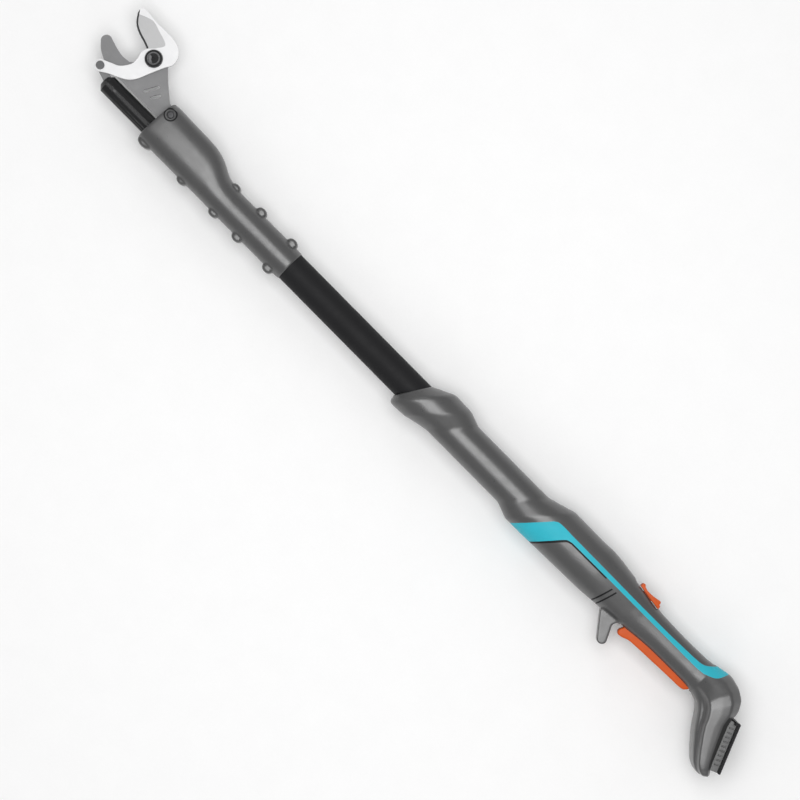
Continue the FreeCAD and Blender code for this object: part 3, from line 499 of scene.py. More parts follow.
PINLINE_OUTLINE = outline(
    (-411.4, 40),
    ("line", (-438.7, 7.8)),
    ("curve", (-442.7, 3.0), (-446.7, -1.6), (-450.7, -5.0), (-457, -6.7)),
    ("line", (-513, -7.0)),
    ("line", (-513, -5.0)),
    ("line", (-457.4, -4.7)),
    ("curve", (-452.5, -3.2), (-448.9, 0.1), (-441.4, 8.6)),
    ("line", (-414.3, 40)))
GROOVES = [((-517.5, 32), (-526.6, -2.2)), ((-523.8, 32), (-532.8, -2.6))]
GROOVE_WIDTH = 2.0
GROOVE_SHADE_DEPTH = 0.55           # how deep the black sheets of painted shade lie in the grooves
MOUTH_X = -262              # the pole's bore is close round it in front of this
MOUTH_FRONT = -180
MOUTH_R = 18.7
BORE_R = 20.7
BORE_REAR = -546
TRIGGER_SLOT = ((-674, -563), (3, 40), (-7.3, 7.3))
SLIDER_SEAT = [(-535.5, -31.5), (-542.5, -27.9), (-582.5, -22.0), (-582.5, -45), (-535.5, -45)]
SEAT_HALF = 9
SLIDER_SLOT = ((-571, -549), (-28, -14), (-4.3, 4.3))
SEAM = 0.14                 # half the gap between the halves
SCREW_SEAT_R = 3.3
SEAT_OUT = -45              # where the seats' cutters end, outside the handle
CLAMP_PIVOT = (-244, 0)


def lerp(first, second, share):
    return tuple(a + (b - a) * share for a, b in zip(first, second))


def flat(station):
    """A station as one row of numbers."""
    (ax, ay), (bx, by), *rest = station
    return (ax, ay, bx, by, *rest)


def dense(stations, step=STATION_STEP, passes=2):
    """Stations every so often, with the corners between them eased."""
    rows = []
    for first, second in zip(stations, stations[1:]):
        a, b = flat(first), flat(second)
        long = max(math.dist(a[:2], b[:2]), math.dist(a[2:4], b[2:4]))
        count = max(2, math.ceil(long / step))
        rows += [lerp(a, b, k / count) for k in range(count)]
    rows.append(flat(stations[-1]))
    for _ in range(passes):
        threes = zip(rows, rows[1:], rows[2:])
        eased = [tuple((a + 2 * b + c) / 4 for a, b, c in zip(*three)) for three in threes]
        rows = [rows[0]] + eased + [rows[-1]]
    return rows


def oval_ring(row, inset, power=2.0):
    """The ring of points round one station: an oval across its two ends."""
    ax, ay, bx, by, half = row[:5]
    middle = Vector(((ax + bx) / 2, (ay + by) / 2, 0))
    across = Vector(((ax - bx) / 2, (ay - by) / 2, 0))
    across *= (across.length - inset) / across.length
    ring = []
    for k in range(RING_POINTS):
        angle = 2 * math.pi * k / RING_POINTS
        c, s = math.cos(angle), math.sin(angle)
        c = math.copysign(abs(c) ** (2 / power), c)
        s = math.copysign(abs(s) ** (2 / power), s)
        ring.append(middle + across * c + Vector((0, 0, (half - inset) * s)))
    return ring


def handle_skin(name, stations, inset=0.0):
    return loft(name, [oval_ring(row, inset, 2.1) for row in dense(stations)])


def profile_at(share):
    """The foot's own half width at a place across it."""
    for (a, low), (b, high) in zip(FOOT_PROFILE, FOOT_PROFILE[1:]):
        if share <= b:
            return low + (high - low) * (share - a) / (b - a)
    return FOOT_PROFILE[-1][1]


def foot_skin(name, inset=0.0):
    """The foot: sections that fan round from the grip to the battery dock."""
    rings = []
    for ax, ay, bx, by, half, own in dense(FOOT_STATIONS, 1.4, 6):
        front, rear = Vector((ax, ay)), Vector((bx, by))
        line = rear - front
        front, rear = front + line.normalized() * inset, rear - line.normalized() * inset
        upper = []
        for k in range(FOOT_STEPS + 1):
            share = k / FOOT_STEPS
            round_share = math.sqrt(max(0.0, 1 - (2 * share - 1) ** 2))
            height = (half - inset) * (own * profile_at(share) + (1 - own) * round_share) + 0.2
            point = front.lerp(rear, share)
            upper.append((point.x, point.y, height))
        rings.append(upper + [(x, y, -z) for x, y, z in reversed(upper)])
    return loft(name, rings)


def strip(first, second, width):
    """The outline of a narrow strip between two points."""
    a, b = Vector(first), Vector(second)
    side = (b - a).normalized().orthogonal() * width / 2
    return [tuple(p) for p in (a - side, b - side, b + side, a + side)]


def screw_spots():
    """Each handle screw's place, drawn in a little from the skin where the handle is slim."""
    spots = []
    for low, high in islands("handle_screws"):
        middle = (low + high) / 2
        near = abs(middle.y) < 40
        spots.append((middle.x, middle.y * (0.92 if near else 1.0), low.z, high.z))
    return spots


def star(x, y, radius, points=6, steps=8):
    """The outline of a six-lobed socket."""
    angles = [2 * math.pi * k / (points * steps) for k in range(points * steps)]
    return [(x + radius * (1 + 0.16 * math.cos(points * a)) * math.cos(a),
             y + radius * (1 + 0.16 * math.cos(points * a)) * math.sin(a)) for a in angles]


def build_handle_screws():
    """The handle's screws, with rounded heads and six-lobed sockets."""
    screws = []
    for x, y, low, high in screw_spots():
        body = turned("screw", "z", (x, y, 0), [
            (low, 2.3), (low + 0.25, 2.75), (low + 0.7, 3.0), (low + 2.2, 3.0), (low + 2.2, 1.5),
            (high - 1.5, 1.5), (high, 0.4)], 48)
        combine(body, "DIFFERENCE", prism("socket", star(x, y, 1.35), low - 1, low + 1.3))
        screws.append(body)
    place(shade(join("handle_screw_set", screws)), "handle", "screw_steel", "handle_screws")


def halves(piece, names, body, slot, nodes):
    """Split a housing at the joint between its halves."""
    for name, node, span in zip(names, nodes, ((SEAM, FAR), (-FAR, -SEAM))):
        half = copy(piece, name)
        combine(half, "INTERSECT", block("half", (-2 * FAR, FAR), (-FAR, FAR), span))
        place(shade(half), body, slot, *([node] if node else []))
    bpy.data.objects.remove(piece)


def build_handle():
    """The handle's two moulded halves, with the coloured inlays let into them."""
    body = join("handle_body", [
        handle_skin("skin", HANDLE_STATIONS), foot_skin("foot"), prism("stop", STOP_OUTLINE, -8.6, 8.6)])
    moulded(body, 1.0, 4)
    core = handle_skin("core", HANDLE_STATIONS, SKIN)
    shade_sheets = []
    floor_skin = handle_skin("floor_skin", HANDLE_STATIONS, GROOVE_SHADE_DEPTH)
    # The black sheet left at each groove's floor is painted shade in the groove; the moulding itself is grey
    # there.
    for ends in GROOVES:
        groove = prism("groove", strip(*ends, GROOVE_WIDTH), -ASIDE, ASIDE)
        combine(groove, "DIFFERENCE", core, keep=True)
        shade_sheet = combine(copy(groove, "shade_sheet"), "INTERSECT", floor_skin, keep=True)
        shade_sheets.append(shade_sheet)
        combine(body, "DIFFERENCE", groove)
    bpy.data.objects.remove(floor_skin)
    inlay_tool = combine(prism("inlay_tool", INLAY_OUTLINE, -ASIDE, ASIDE), "DIFFERENCE", core, keep=True)
    line_tool = combine(prism("line_tool", PINLINE_OUTLINE, -ASIDE, ASIDE), "DIFFERENCE", core, keep=True)
    inlay = combine(copy(body, "inlay"), "INTERSECT", inlay_tool, keep=True)
    line = combine(copy(body, "pinline"), "INTERSECT", line_tool, keep=True)
    combine(body, "DIFFERENCE", inlay_tool, line_tool)
    combine(inlay, "DIFFERENCE", prism("line_room", PINLINE_OUTLINE, -ASIDE, ASIDE))
    bpy.data.objects.remove(core)
    combine(
        body, "DIFFERENCE",
        rod("mouth", "x", (0, 0, 0), MOUTH_R, MOUTH_X - 1, MOUTH_FRONT),
        rod("bore", "x", (0, 0, 0), BORE_R, BORE_REAR, MOUTH_X),
        handle_skin("hollow", HANDLE_STATIONS[HOLLOW_FIRST:], WALL),
        foot_skin("foot_hollow", WALL),
        block("trigger_slot", *TRIGGER_SLOT),
        prism("slider_seat", SLIDER_SEAT, -SEAT_HALF, SEAT_HALF),
        block("slider_slot", *SLIDER_SLOT))
    seats = []
    for x, y, low, high in screw_spots():
        seats.append(rod("seat", "z", (x, y, 0), SCREW_SEAT_R, SEAT_OUT, low + 2.3, 32))
    seats.append(rod("cam_hole", "z", (*CLAMP_PIVOT, 0), 5.4, SEAT_OUT, -18, 40))
    combine(body, "DIFFERENCE", *seats)
    halves(body, ("handle_housing_left", "handle_housing_right"), "handle", "housing_grey",
           ("handle_shell_left", "handle_shell_right"))
    halves(inlay, ("colour_stripe_left", "colour_stripe_right"), "handle", "inlay_turquoise",
           ("inlay_left", "inlay_right"))
    halves(line, ("dark_stripe_left", "dark_stripe_right"), "handle", "dock_black", (None, None))
    # The black sheets of painted groove shade, split with the halves.
    groove_shade_sheets = join("shade_sheets", shade_sheets)
    halves(groove_shade_sheets, ("groove_shade_left", "groove_shade_right"), "handle", "dock_black", (None, None))


# ---------------------------------------------------------------- head
# Stations along the head housing: x, trigger side, top side, half width, squareness of the oval.
HEAD_STATIONS = [
    (-5.0, 18.8, -18.4, 18.9, 2.0), (-3.0, 19.6, -19.2, 19.7, 2.0), (10, 20.1, -19.5, 20.0, 2.0),
    (50, 20.1, -19.3, 20.2, 2.05), (92, 20.2, -19.2, 20.4, 2.1), (106, 20.0, -20.4, 20.8, 2.15),
    (115, 20.0, -22.1, 21.3, 2.2), (124, 19.9, -26.2, 21.9, 2.3), (133, 19.8, -31.0, 22.4, 2.4),
    (142.6, 20.0, -34.2, 22.8, 2.5), (152, 20.1, -36.1, 23.0, 2.5), (165, 20.0, -36.8, 23.1, 2.55),
    (198, 20.0, -37.4, 22.9, 2.6), (212, 20.0, -37.8, 22.5, 2.6),
]
HEAD_FRONT = ((222.8, 19.4), (219.8, -37.3), 21.9, 2.7)
HEAD_NOSE = ((224.0, 17.8), (221.0, -35.8), 20.6, 2.7)
HEAD_HOLLOW = slice(2, 12)
BOSS_DEEP = 5.0
BOSS_LONG = 6.9
NOSE_BOSS_FROM = 190        # the screw boss in front of this is the large one at the nose
BOSS_HALF = 11.0
PILLAR_R = 5.6              # the solid round each screw of the hooked plate
RING_INNER, RING_OUTER = 6.3, 8.0
ROD_Y = 1.7
ROD_R = 11.5


def head_rows(part=slice(None), nose=True):
    rows = [((x, a), (x, b), half, power) for x, a, b, half, power in HEAD_STATIONS[part]]
    if nose:
        rows += [HEAD_FRONT, HEAD_NOSE]
    return dense(rows)


def head_skin(name, rows, inset=0.0):
    return loft(name, [oval_ring(row, inset, row[5]) for row in rows])


def lug(x, y, long, deep):
    """A rounded screw boss, longer than it is deep."""
    rings = []
    for z, size in ((-BOSS_HALF, 0.8), (1.2 - BOSS_HALF, 1.0), (BOSS_HALF - 4.4, 1.0),
                    (BOSS_HALF - 2.6, 0.95), (BOSS_HALF - 1.2, 0.84), (BOSS_HALF - 0.3, 0.62),
                    (BOSS_HALF, 0.4)):
        rings.append([(x + long * size * math.cos(a), y + deep * size * math.sin(a), z)
                      for a in (2 * math.pi * k / 48 for k in range(48))])
    return loft("lug", rings)


def build_plate_screws():
    """The screws that clamp the hooked plate, with rounded heads and six-lobed sockets."""
    screws = []
    for low, high in islands("plate_screws"):
        middle = (low + high) / 2
        x, y, top, head = middle.x, middle.y, high.z, (high.x - low.x) / 2
        body = turned("screw", "z", (x, y, 0), [
            (low.z, 0.5), (low.z + 1.4, 1.9), (top - 2.4, 1.9), (top - 2.4, head), (top - 0.8, head),
            (top - 0.25, head - 0.5), (top, head - 1.4)], 48)
        combine(body, "DIFFERENCE", prism("socket", star(x, y, 1.9), top - 1.5, top + 1))
        screws.append(body)
    place(shade(join("plate_screw_set", screws)), "pole_head", "screw_steel", "plate_screws")


def build_head():
    """The head's two moulded halves, with their screw bosses, the black ring of painted shade in the groove
    round the nose screw, and the openings.
    """
    bosses = []
    dimples = []
    for low, high in islands("head_screws"):
        middle = (low + high) / 2
        bosses.append(lug(middle.x, middle.y, BOSS_LONG, BOSS_DEEP))
        if middle.x > NOSE_BOSS_FROM and middle.y > 0:
            bosses.append(lug(middle.x + 3.0, middle.y, 9.4, 5.8))
        dimples.append(rod("screw_seat", "z", (middle.x, middle.y, 0), SCREW_SEAT_R, -FAR, low.z + 2.5, 32))
    body = join("head_body", [head_skin("skin", head_rows())] + bosses)
    moulded(body, 0.9, 5)
    hollow = head_skin("hollow", head_rows(HEAD_HOLLOW, False), WALL)
    for middle in middles("plate_screws"):
        combine(hollow, "DIFFERENCE", rod("pillar", "z", (middle.x, middle.y, 0), PILLAR_R, -30, 30, 32))
    low, high = islands("plate_screws")[-1]
    middle = (low + high) / 2
    seat = rod("plate_screw_seat", "z", (middle.x, middle.y, 0), 4.9, high.z - 2.6, FAR, 40)
    # An annular groove round the nose screw; the black ring left at its floor is painted shade in the groove.
    collar = turned("collar", "z", (middle.x, middle.y, 0), [
        (15, RING_OUTER), (FAR, RING_OUTER), (FAR, RING_INNER), (15, RING_INNER)], 48, True)
    combine(
        body, "DIFFERENCE", hollow, *dimples, seat,
        rod("pole_bore", "x", (0, 0, 0), 18.45, -20, 32.5),
        rod("rod_room", "x", (0, ROD_Y, 0), 13.4, 150, 200),
        rod("rod_bore", "x", (0, ROD_Y, 0), ROD_R + 0.5, 190, 240),
        block("plate_slot", (148, 240), (-33.6, -8), (-2.15, 2.15)))
    combine(collar, "DIFFERENCE", head_skin("ring_core", head_rows(), 2.0))
    ring = combine(copy(collar, "plate_screw_ring_shade"), "INTERSECT", head_skin("ring_skin", head_rows(), 0.8))
    place(shade(ring), "pole_head", "dock_black")
    combine(body, "DIFFERENCE", collar)
    halves(body, ("head_housing_left", "head_housing_right"), "pole_head", "housing_grey",
           ("head_shell_left", "head_shell_right"))


# ---------------------------------------------------------------- pole, rod
def build_pole():
    """The pole: a thin tube whose ends are broken."""
    low, high = -534, POLE_FRONT
    outer = 18.3
    inner = outer - 1.5
    tube = turned("pole_tube", "x", (0, 0, 0), [
        (low + 0.5, outer), (high - 0.5, outer), (high, outer - 0.5), (high, inner + 0.3),
        (high - 0.3, inner), (low + 0.3, inner), (low, inner + 0.3), (low, outer - 0.5)], 128, True)
    place(shade(tube), "pole_head", "pole_black", "telescoping_pole")


def build_rod():
    """The push rod: ribbed along its length, tapered at its nose, slotted for the link."""
    rear, ribs_end, nose, front = 183, 277, 292, 297
    grooves, groove_depth = 12, 0.5
    rings = []
    count = 144
    # Each section: where it is, how far it is drawn in, whether it is ribbed.
    for x, drop, ribbed in ((rear, 0.8, 0), (rear + 0.8, 0, 1), (ribs_end, 0, 1), (ribs_end + 1.2, 0, 0),
                            (nose, 0, 0), (front, 5, 0)):
        ring = []
        for k in range(count):
            angle = 2 * math.pi * k / count
            groove = groove_depth * ribbed * max(0.0, math.cos(grooves * angle) - 0.55) / 0.45
            radius = ROD_R - drop - groove
            ring.append((x, ROD_Y + radius * math.cos(angle), radius * math.sin(angle)))
        rings.append(ring)
    bar = loft("rod_bar", rings)
    pin_x = (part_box("push_rod_pin")[0].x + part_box("push_rod_pin")[1].x) / 2
    pin_x = (pin_x - ORIGIN.x) / MM
    combine(
        bar, "DIFFERENCE",
        rod("bore", "x", (0, ROD_Y, 0), 6, rear - 1, 267, 48),
        rod("nut_seat", "x", (0, ROD_Y, 0), 9.52, rear - 1, rear + 18.02, 64),
        block("nose_slot", (272, 300), (-12, 15), (-2.3, 2.3)),
        rod("pin_hole", "z", (pin_x, ROD_Y, 0), 2.55, -14, 14, 32))
    place(shade(bar, 30), "push_rod", "rod_black", "push_rod")


# ---------------------------------------------------------------- jaws
HOOK_OUTLINE = outline(
    (150, -11.8),
    ("line", (289, -11.8)),
    ("curve", (311.9, -14.4), (320.1, -17.6), (327.0, -22.0), (333.6, -28.5)),
    ("arc", (334.6, -35.0), (327.9, -39.3)),
    ("curve", (313.7, -34.9), (303.0, -33.1), (292.5, -34.0)),
    ("curve", (286.5, -40.0), (284.5, -49.0), (286.5, -58.0)),
    ("arc", (272.0, -70.5), (256.5, -60.5)),
    ("line", (243.4, -47.8)),
    ("line", (225.4, -33.0)),
    ("line", (150, -33.0)))
HOOK_SLOTS = [((256.1, -23.0), (248.4, -36.9)), ((244.9, -23.1), (240.4, -30.9))]
HOOK_SLOT_R = 1.8
PLATE_HALF = 2.0
BLADE_LOW, BLADE_HIGH = 2.3, 6.3
PIVOT = (274.5, -56.3)
ARM_PIN = (312.7, -7.5)
CUTTING_EDGE = [
    (288.7, -58.6), (296.2, -61.5), (307.8, -65.0), (315.6, -68.9), (321.0, -73.9), (325.4, -80.2)]
GROUND_LINE = [
    (286.6, -60.6), (280.3, -68.0), (276.6, -77.0), (292.4, -83.0), (304.2, -86.2), (313.0, -84.6),
    (322.6, -80.6)]
CHEEK_FALL = Vector((0.35, 0.937))     # the way the cheek falls, across the blade
CHEEK_REACH = 8.0                      # how far behind its first corner the cheek begins
CHEEK_STEP = 0.2
CHEEK_SLOPE = 0.075
HONED_WIDTH = 2.4
HONED_DEPTH = 2.0
BACK = outline(
    (326.8, -85.7),
    ("arc", (325.6, -89.0), (322.1, -90.0)),
    ("curve", (300.9, -88.4), (279.8, -88.6), (266.0, -86.2), (256.6, -78.5), (254.0, -67.0), (258.9, -57.3)),
    ("curve", (265.9, -40.8), (272.8, -25.0), (281.7, -16.0), (299.1, -7.4), (307.6, -2.2)),
    ("arc", (319.6, -5.6), (315.0, -14.2)),
    ("curve", (305.5, -18.5), (296.5, -23.0), (289.2, -33.0), (287.9, -41.0), (290.6, -52.0)))


def build_hook():
    """The hooked plate that holds the branch."""
    plate = prism("plate", HOOK_OUTLINE, -PLATE_HALF, PLATE_HALF)
    combine(plate, "DIFFERENCE", rod("hole", "z", (*PIVOT, 0), 6.0, -9, 9, 48), *[
        prism("slot", capsule(*ends, HOOK_SLOT_R), -9, 9) for ends in HOOK_SLOTS])
    for middle in middles("plate_screws"):
        combine(plate, "DIFFERENCE", rod("screw_hole", "z", (middle.x, middle.y, 0), 2.5, -9, 9, 32))
    plate.name = "hook_jaw"
    place(shade(rounded(plate, 0.45)), "pole_head", "plate_steel", "hook_plate")


def build_blade():
    """The bypass blade: a flat body, a ground cheek that falls towards the edge, and the honed edge."""
    edge = spline(CUTTING_EDGE, 10)
    blade = prism("bypass_blade", BACK + edge, BLADE_LOW, BLADE_HIGH)
    rounded(blade, 0.35, 2, 60)
    apply(blade)
    outer = [tuple(Vector(point) + CHEEK_FALL * 3) for point in edge]
    plan = spline(GROUND_LINE, 8) + outer[::-1]
    start = Vector(GROUND_LINE[1])
    under = []
    for x, y in plan:
        reach = (Vector((x, y)) - start).dot(CHEEK_FALL)
        under.append((x, y, BLADE_HIGH - CHEEK_STEP - CHEEK_SLOPE * (reach + CHEEK_REACH)))
    cheek = loft("cheek", [under, [(x, y, BLADE_HIGH + 3) for x, y in plan]])
    rings = []
    for k, (x, y) in enumerate(edge):
        ahead = Vector(edge[min(k + 1, len(edge) - 1)]) - Vector(edge[max(k - 1, 0)])
        inward = ahead.normalized().orthogonal()
        if inward.dot(CHEEK_FALL) > 0:
            inward = -inward
        inner, beyond = Vector((x, y)) + inward * HONED_WIDTH, Vector((x, y)) - inward
        slope = (BLADE_HIGH - HONED_DEPTH - BLADE_LOW) / HONED_WIDTH
        rings.append([(*inner, BLADE_HIGH - HONED_DEPTH), (*beyond, BLADE_LOW + 0.25 - slope),
                      (*beyond, BLADE_HIGH + 2), (*inner, BLADE_HIGH + 2)])
    stretch = Vector((*(Vector(edge[-1]) - Vector(edge[-2])).normalized() * 4, 0))
    rings.append([tuple(Vector(point) + stretch) for point in rings[-1]])
    honed = loft("honed", rings)
    combine(blade, "DIFFERENCE", cheek, honed,
            rod("pivot_hole", "z", (*PIVOT, 0), 6.05, -9, 20, 64),
            rod("arm_hole", "z", (*ARM_PIN, 0), 3.0, -9, 20, 32))
    place(shade(blade, 20), "blade", "blade_steel", "cutting_blade")
    blade.data.materials.append(FINISHES["ground_steel_and_shade"])
    blade.data.materials.append(FINISHES["honed_edge_shade"])
    top_z = metres((0, 0, BLADE_HIGH)).z - 0.05 * MM
    for face in blade.data.polygons:
        heights = [blade.data.vertices[k].co.z for k in face.vertices]
        from_pivot = (face.center - metres((*PIVOT, 0))).length
        # Faces of the cheek take the ground finish, whose darker colour is partly painted shade.
        if face.normal.z > 0.97 and min(heights) < top_z:
            face.material_index = 1
        # Faces of the honed strip take the near-black painted shade.
        elif 0.2 < face.normal.z < 0.9 and from_pivot > 6.5 * MM and in_edge(face.center):
            face.material_index = 2


def in_edge(place_at):
    """Whether a point lies on the honed strip along the cutting edge."""
    x, y = ((place_at - ORIGIN) / MM).xy
    return min(math.dist((x, y), point) for point in spline(CUTTING_EDGE, 10)) < HONED_WIDTH + 1


def build_bolt():
    """The pivot bolt: a shank, a black flange, and a dished head with a hexagon socket."""
    low, high = [(corner - ORIGIN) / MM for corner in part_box("pivot_bolt")]
    top, seat = high.z, high.z - 3.0
    step = seat + 1.4
    bolt = turned("pivot_bolt_flanged", "z", (*PIVOT, 0), [
        (low.z, 5.4), (low.z + 0.5, 5.95), (seat, 5.95), (seat, 9.5), (seat + 0.2, 9.7), (step - 0.4, 9.7),
        (step, 9.3), (step, 7.7), (top - 0.6, 7.7), (top, 7.1), (top, 6.3), (top - 0.5, 5.7)], 96)
    combine(bolt, "DIFFERENCE", turned("socket", "z", (*PIVOT, 0), [(top - 2.6, 2.7), (top + 1, 2.7)], 6))
    place(shade(bolt, 25), "pole_head", "bolt_steel", "pivot_bolt")
    bolt.data.materials.append(FINISHES["dock_black"])
    head_low = metres((0, 0, step)).z + 0.05 * MM
    for face in bolt.data.polygons:
        middle = (face.center - metres((*PIVOT, 0))).xy.length / MM
        # Faces within 3 mm of the axis, the hexagon socket's inside, take the black finish as painted shade
        # in the socket; the faces below the head take it as the flange's own black.
        if middle < 3 or face.center.z < head_low:
            face.material_index = 1


def build_link():
    """The link from the push rod to the blade's arm."""
    rear = (284.2, ROD_Y)
    bar = prism("link_bar", capsule(ARM_PIN, rear, 5.0), -PLATE_HALF, PLATE_HALF)
    combine(bar, "DIFFERENCE", rod("front_eye", "z", (*ARM_PIN, 0), 3.05, -9, 9, 32),
            rod("rear_eye", "z", (*rear, 0), 2.55, -9, 9, 32))
    place(shade(rounded(bar, 0.4)), "link", "plate_steel", "drive_link")


# ---------------------------------------------------------------- controls and dock
TRIGGER_OUTLINE = outline(
    (-672, 15.5),
    ("curve", (-668, 20.5), (-662, 22.3), (-650, 22.6)),
    ("line", (-600, 24.6)),
    ("curve", (-584, 25.8), (-576, 28.6), (-570.5, 29.6)),
    ("arc", (-567.0, 27.0), (-567.6, 22.0)),
    ("line", (-571, 13)),
    ("line", (-600, 9)),
    ("line", (-655, 5)),
    ("arc", (-667, 3.5), (-671, 9)))
SLIDER_OUTLINE = outline(
    (-548.6, -28.2),
    ("curve", (-548.8, -31.0), (-549.6, -32.8), (-551.4, -33.0), (-553.2, -31.4), (-556.5, -30.0),
     (-562.0, -29.6), (-569.0, -30.2), (-575.0, -31.2)),
    ("curve", (-577.6, -31.4), (-578.8, -29.8), (-579.2, -27.6)),
    ("line", (-581.2, -27.2)),
    ("line", (-581.6, -23.2)))
SLIDER_RIDGES = 5


def build_trigger():
    """The long trigger, crowned across and softened all round."""
    lever = prism("trigger_lever", TRIGGER_OUTLINE, -7, 7)
    rounded(lever, 3.2, 6, 50)
    apply(lever)
    combine(lever, "DIFFERENCE", rod("pin_hole", "z", (-666, 9, 0), 2.05, -9, 9, 32),
            block("room", (-650, -606), (0, 18), (-5, 5)))
    place(shade(lever, 30), "trigger", "control_orange", "trigger")


def build_slider():
    """The lock slider: a dished cap with raised ends and thumb ridges, on its stem."""
    cap = prism("cap", SLIDER_OUTLINE, -8, 8)
    rounded(cap, 0.7, 3, 35)
    apply(cap)
    ridges = []
    for k in range(SLIDER_RIDGES):
        x = -558.5 - 3.0 * k
        ridges.append(block("ridge_gap", (x - 0.45, x + 0.45), (-40, -28.3 - 0.12 * k * k), (-6.4, 6.4)))
    combine(cap, "DIFFERENCE", *ridges)
    combine(cap, "UNION", block("stem", (-570, -556), (-28.5, -19), (-4, 4)))
    cap.name = "lock_button"
    place(shade(cap, 30), "lock_slider", "control_orange", "lock_slider")


def coil(along, centre, radius, wire, low, high, turns):
    """A coil spring between two places along an axis."""
    a, b, c = ALONG[along]
    steps = 20 * turns
    rings = []
    for step in range(steps + 1):
        turn = 2 * math.pi * turns * step / steps
        middle = low + wire + (high - low - 2 * wire) * step / steps
        ring = []
        for k in range(10):
            angle = 2 * math.pi * k / 10
            reach = radius + wire * math.cos(angle)
            point = [0, 0, 0]
            point[a] = middle + wire * math.sin(angle)
            point[b] = centre[b] + reach * math.cos(turn)
            point[c] = centre[c] + reach * math.sin(turn)
            ring.append(point)
        rings.append(ring)
    return loft("coil", rings)


def build_springs():
    """The springs that return the trigger and the lock slider, each with a mesh of its own."""
    low, high = -11.9, 17.9
    spring = coil("y", (-640, 0, 0), 2.9, 0.45, low, high, 9)
    spring.name = "trigger_coil_spring"
    place(shade(spring), "handle", "spindle_steel", "trigger_spring")
    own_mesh(spring)
    low, high = -555.9, -541.9
    spring = coil("x", (0, -22, 0), 2.2, 0.38, low, high, 7)
    spring.name = "lock_coil_spring"
    place(shade(spring), "handle", "spindle_steel", "lock_spring")
    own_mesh(spring)


def build_clamp():
    """The clamp lever on the far side: a flat arm with a raised thumb end, on its cam shaft."""
    arm = prism("clamp_arm", capsule((-294, 0), CLAMP_PIVOT, 8.0, 20), -36.5, -32.0)
    rounded(arm, 1.3, 4, 50)
    apply(arm)
    thumb = prism("thumb", capsule((-298, 0), (-286, 0), 3.4), -37.2, -34)
    rounded(thumb, 0.8, 3, 50)
    apply(thumb)
    combine(arm, "UNION", thumb, rod("shaft", "z", (*CLAMP_PIVOT, 0), 5.0, -35, -21.6, 48))
    place(shade(arm, 30), "clamp_lever", "lever_black", "clamp_lever")


DOCK_TOP = Vector((-727.1, 6.2))
DOCK_BOTTOM = Vector((-751.1, 64.2))
DOCK_FLANGE = 9.2          # from the foot's rear face to the near side of the rails
DOCK_FACE = 12.2           # from the foot's rear face to the battery's face
DOCK_GROOVES = 9           # shallow grooves across the stem, on each side


def dock_corners(near, far, low, high, slope=0.0):
    """The outline between two distances from the foot's face and two along it."""
    down = (DOCK_BOTTOM - DOCK_TOP).normalized()
    out = Vector((-down.y, down.x))
    if out.x > 0:
        out = -out
    return [tuple(DOCK_TOP + out * d + down * a)
            for d, a in ((near, low), (far, low + slope), (far, high), (near, high))]


def dock_slab(name, near, far, low, high, half, slope=0.0):
    """A slab of the dock, drawn out both ways from the joint between the halves."""
    return prism(name, dock_corners(near, far, low, high, slope), -half, half)


def build_dock():
    """The battery dock: a grooved grey stem and a black rail plate with a stop and a contact trough."""
    length = (DOCK_BOTTOM - DOCK_TOP).length
    stem = combine(dock_slab("stem", -2.5, DOCK_FLANGE, 2, length, 24), "DIFFERENCE",
                   dock_slab("trough", DOCK_FLANGE - 2, 14, 14, length + 1, 9))
    grooves = []
    for k in range(DOCK_GROOVES):
        start = 9 + 5.6 * k
        for span in ((23.2, 30), (-30, -23.2)):
            corners = dock_corners(2.4, DOCK_FLANGE - 1.6, start, start + 1.3)
            grooves.append(prism("stem_groove", corners, *span))
    combine(stem, "DIFFERENCE", *grooves)
    stem.name = "dock_stem"
    place(shade(rounded(stem, 0.3, 2)), "handle", "housing_grey")
    rails = combine(dock_slab("rails", DOCK_FLANGE, DOCK_FACE, 2, length, 33), "UNION",
                    dock_slab("stop", 5.6, DOCK_FACE, 0.3, 4.5, 33, 0.8))
    combine(rails, "DIFFERENCE", dock_slab("trough", DOCK_FLANGE - 2, 14, 14, length + 1, 9))
    rails.name = "dock_rails"
    place(shade(rounded(rails, 0.6)), "handle", "dock_black", "battery_dock")


# ---------------------------------------------------------------- CAD nodes that stay
KEPT = {
    "screw_steel": ("head_screws",),
    "bolt_steel": ("pivot_nut", "pivot_washer", "blade_arm_pin", "trigger_pin"),
    "rod_black": ("push_rod_pin",),
    "bush_plastic": (
        "pole_stop_ring", "front_guide_bush", "middle_guide_bush", "rod_guide_bush", "clamp_shoe"),
    "nut_brass": ("spindle_nut", "battery_contacts"),
    "spindle_steel": ("drive_spindle", "thrust_bearing"),
    "motor_metal": ("motor", "gearbox"),
    "dock_black": ("trigger_switch",),
    "lead_rubber": ("coiled_lead",),
    "board_green": ("control_board",),
}


def dress_kept_nodes():
    """Finishes and softened edges for the CAD nodes whose own shape is right."""
    for slot, nodes in KEPT.items():
        for name in nodes:
            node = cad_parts[name]
            if not node.material_slots:
                node.data.materials.append(FINISHES[slot])
            for held in node.material_slots:
                held.material = FINISHES[slot]
            weld = node.modifiers.new("weld", "WELD")
            weld.merge_threshold = 0.001 * MM
            rounded(node, 0.3, 2, 40)


# ---------------------------------------------------------------- stage
FLOOR_GAP = 0.004
CAMERA_HEIGHT = 3.2
FRAME_WIDTH = 0.92
VIEW_X, VIEW_Y = 0.0124, 0.0243
VIEW_TURN = math.radians(-134.7)


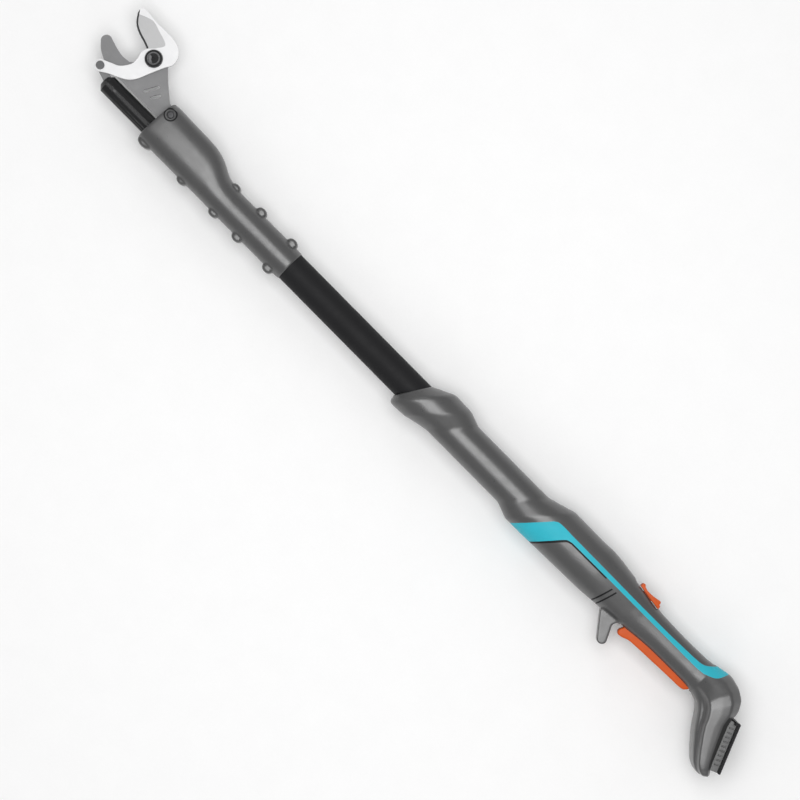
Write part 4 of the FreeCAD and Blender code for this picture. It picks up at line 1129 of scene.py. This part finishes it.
def build_stage():
    """A plain pale floor, soft lights, and the camera looking straight down at the tool."""
    floor_mesh = bpy.data.meshes.new("floor")
    side = 6.0
    corners = [(-side, -side, 0), (side, -side, 0), (side, side, 0), (-side, side, 0)]
    floor_mesh.from_pydata(corners, [], [(0, 1, 2, 3)])
    floor = bpy.data.objects.new("floor", floor_mesh)
    floor.location.z = -FLOOR_GAP
    floor_mesh.materials.append(finish("floor", (0.90, 0.90, 0.90), 0.8, variation=0.01, grain=3, wear=0.0))
    bpy.context.scene.collection.objects.link(floor)
    world = bpy.data.worlds.new("studio")
    world.use_nodes = True
    world.node_tree.nodes["Background"].inputs[0].default_value = (1.0, 1.0, 1.0, 1.0)
    world.node_tree.nodes["Background"].inputs[1].default_value = 0.50
    bpy.context.scene.world = world
    for name, place_at, size, power in (
            ("overhead", (0.0, 0.0, 2.4), 1.6, 36.0),
            ("left", (-1.8, 1.4, 1.6), 1.0, 4.0),
            ("right", (1.8, -1.4, 1.6), 1.0, 4.0)):
        light = bpy.data.lights.new(name, "AREA")
        light.size = size
        light.energy = power
        lamp = bpy.data.objects.new(name, light)
        lamp.location = place_at
        lamp.rotation_mode = "QUATERNION"
        lamp.rotation_quaternion = (-Vector(place_at)).to_track_quat("-Z", "Y")
        lamp.visible_camera = False
        bpy.context.scene.collection.objects.link(lamp)
    camera_data = bpy.data.cameras.new("camera")
    camera_data.sensor_width = 36.0
    camera_data.lens = camera_data.sensor_width * CAMERA_HEIGHT / FRAME_WIDTH
    camera = bpy.data.objects.new("camera", camera_data)
    camera.matrix_world = (Matrix.Translation((VIEW_X, VIEW_Y, ORIGIN.z + CAMERA_HEIGHT))
                           @ Matrix.Rotation(VIEW_TURN, 4, "Z"))
    bpy.context.scene.collection.objects.link(camera)
    bpy.context.scene.camera = camera
    bpy.context.scene.view_settings.view_transform = "Standard"


build_handle()
build_handle_screws()
build_head()
build_plate_screws()
build_pole()
build_rod()
build_hook()
build_blade()
build_bolt()
build_link()
build_trigger()
build_slider()
build_springs()
build_clamp()
build_dock()
dress_kept_nodes()
build_stage()
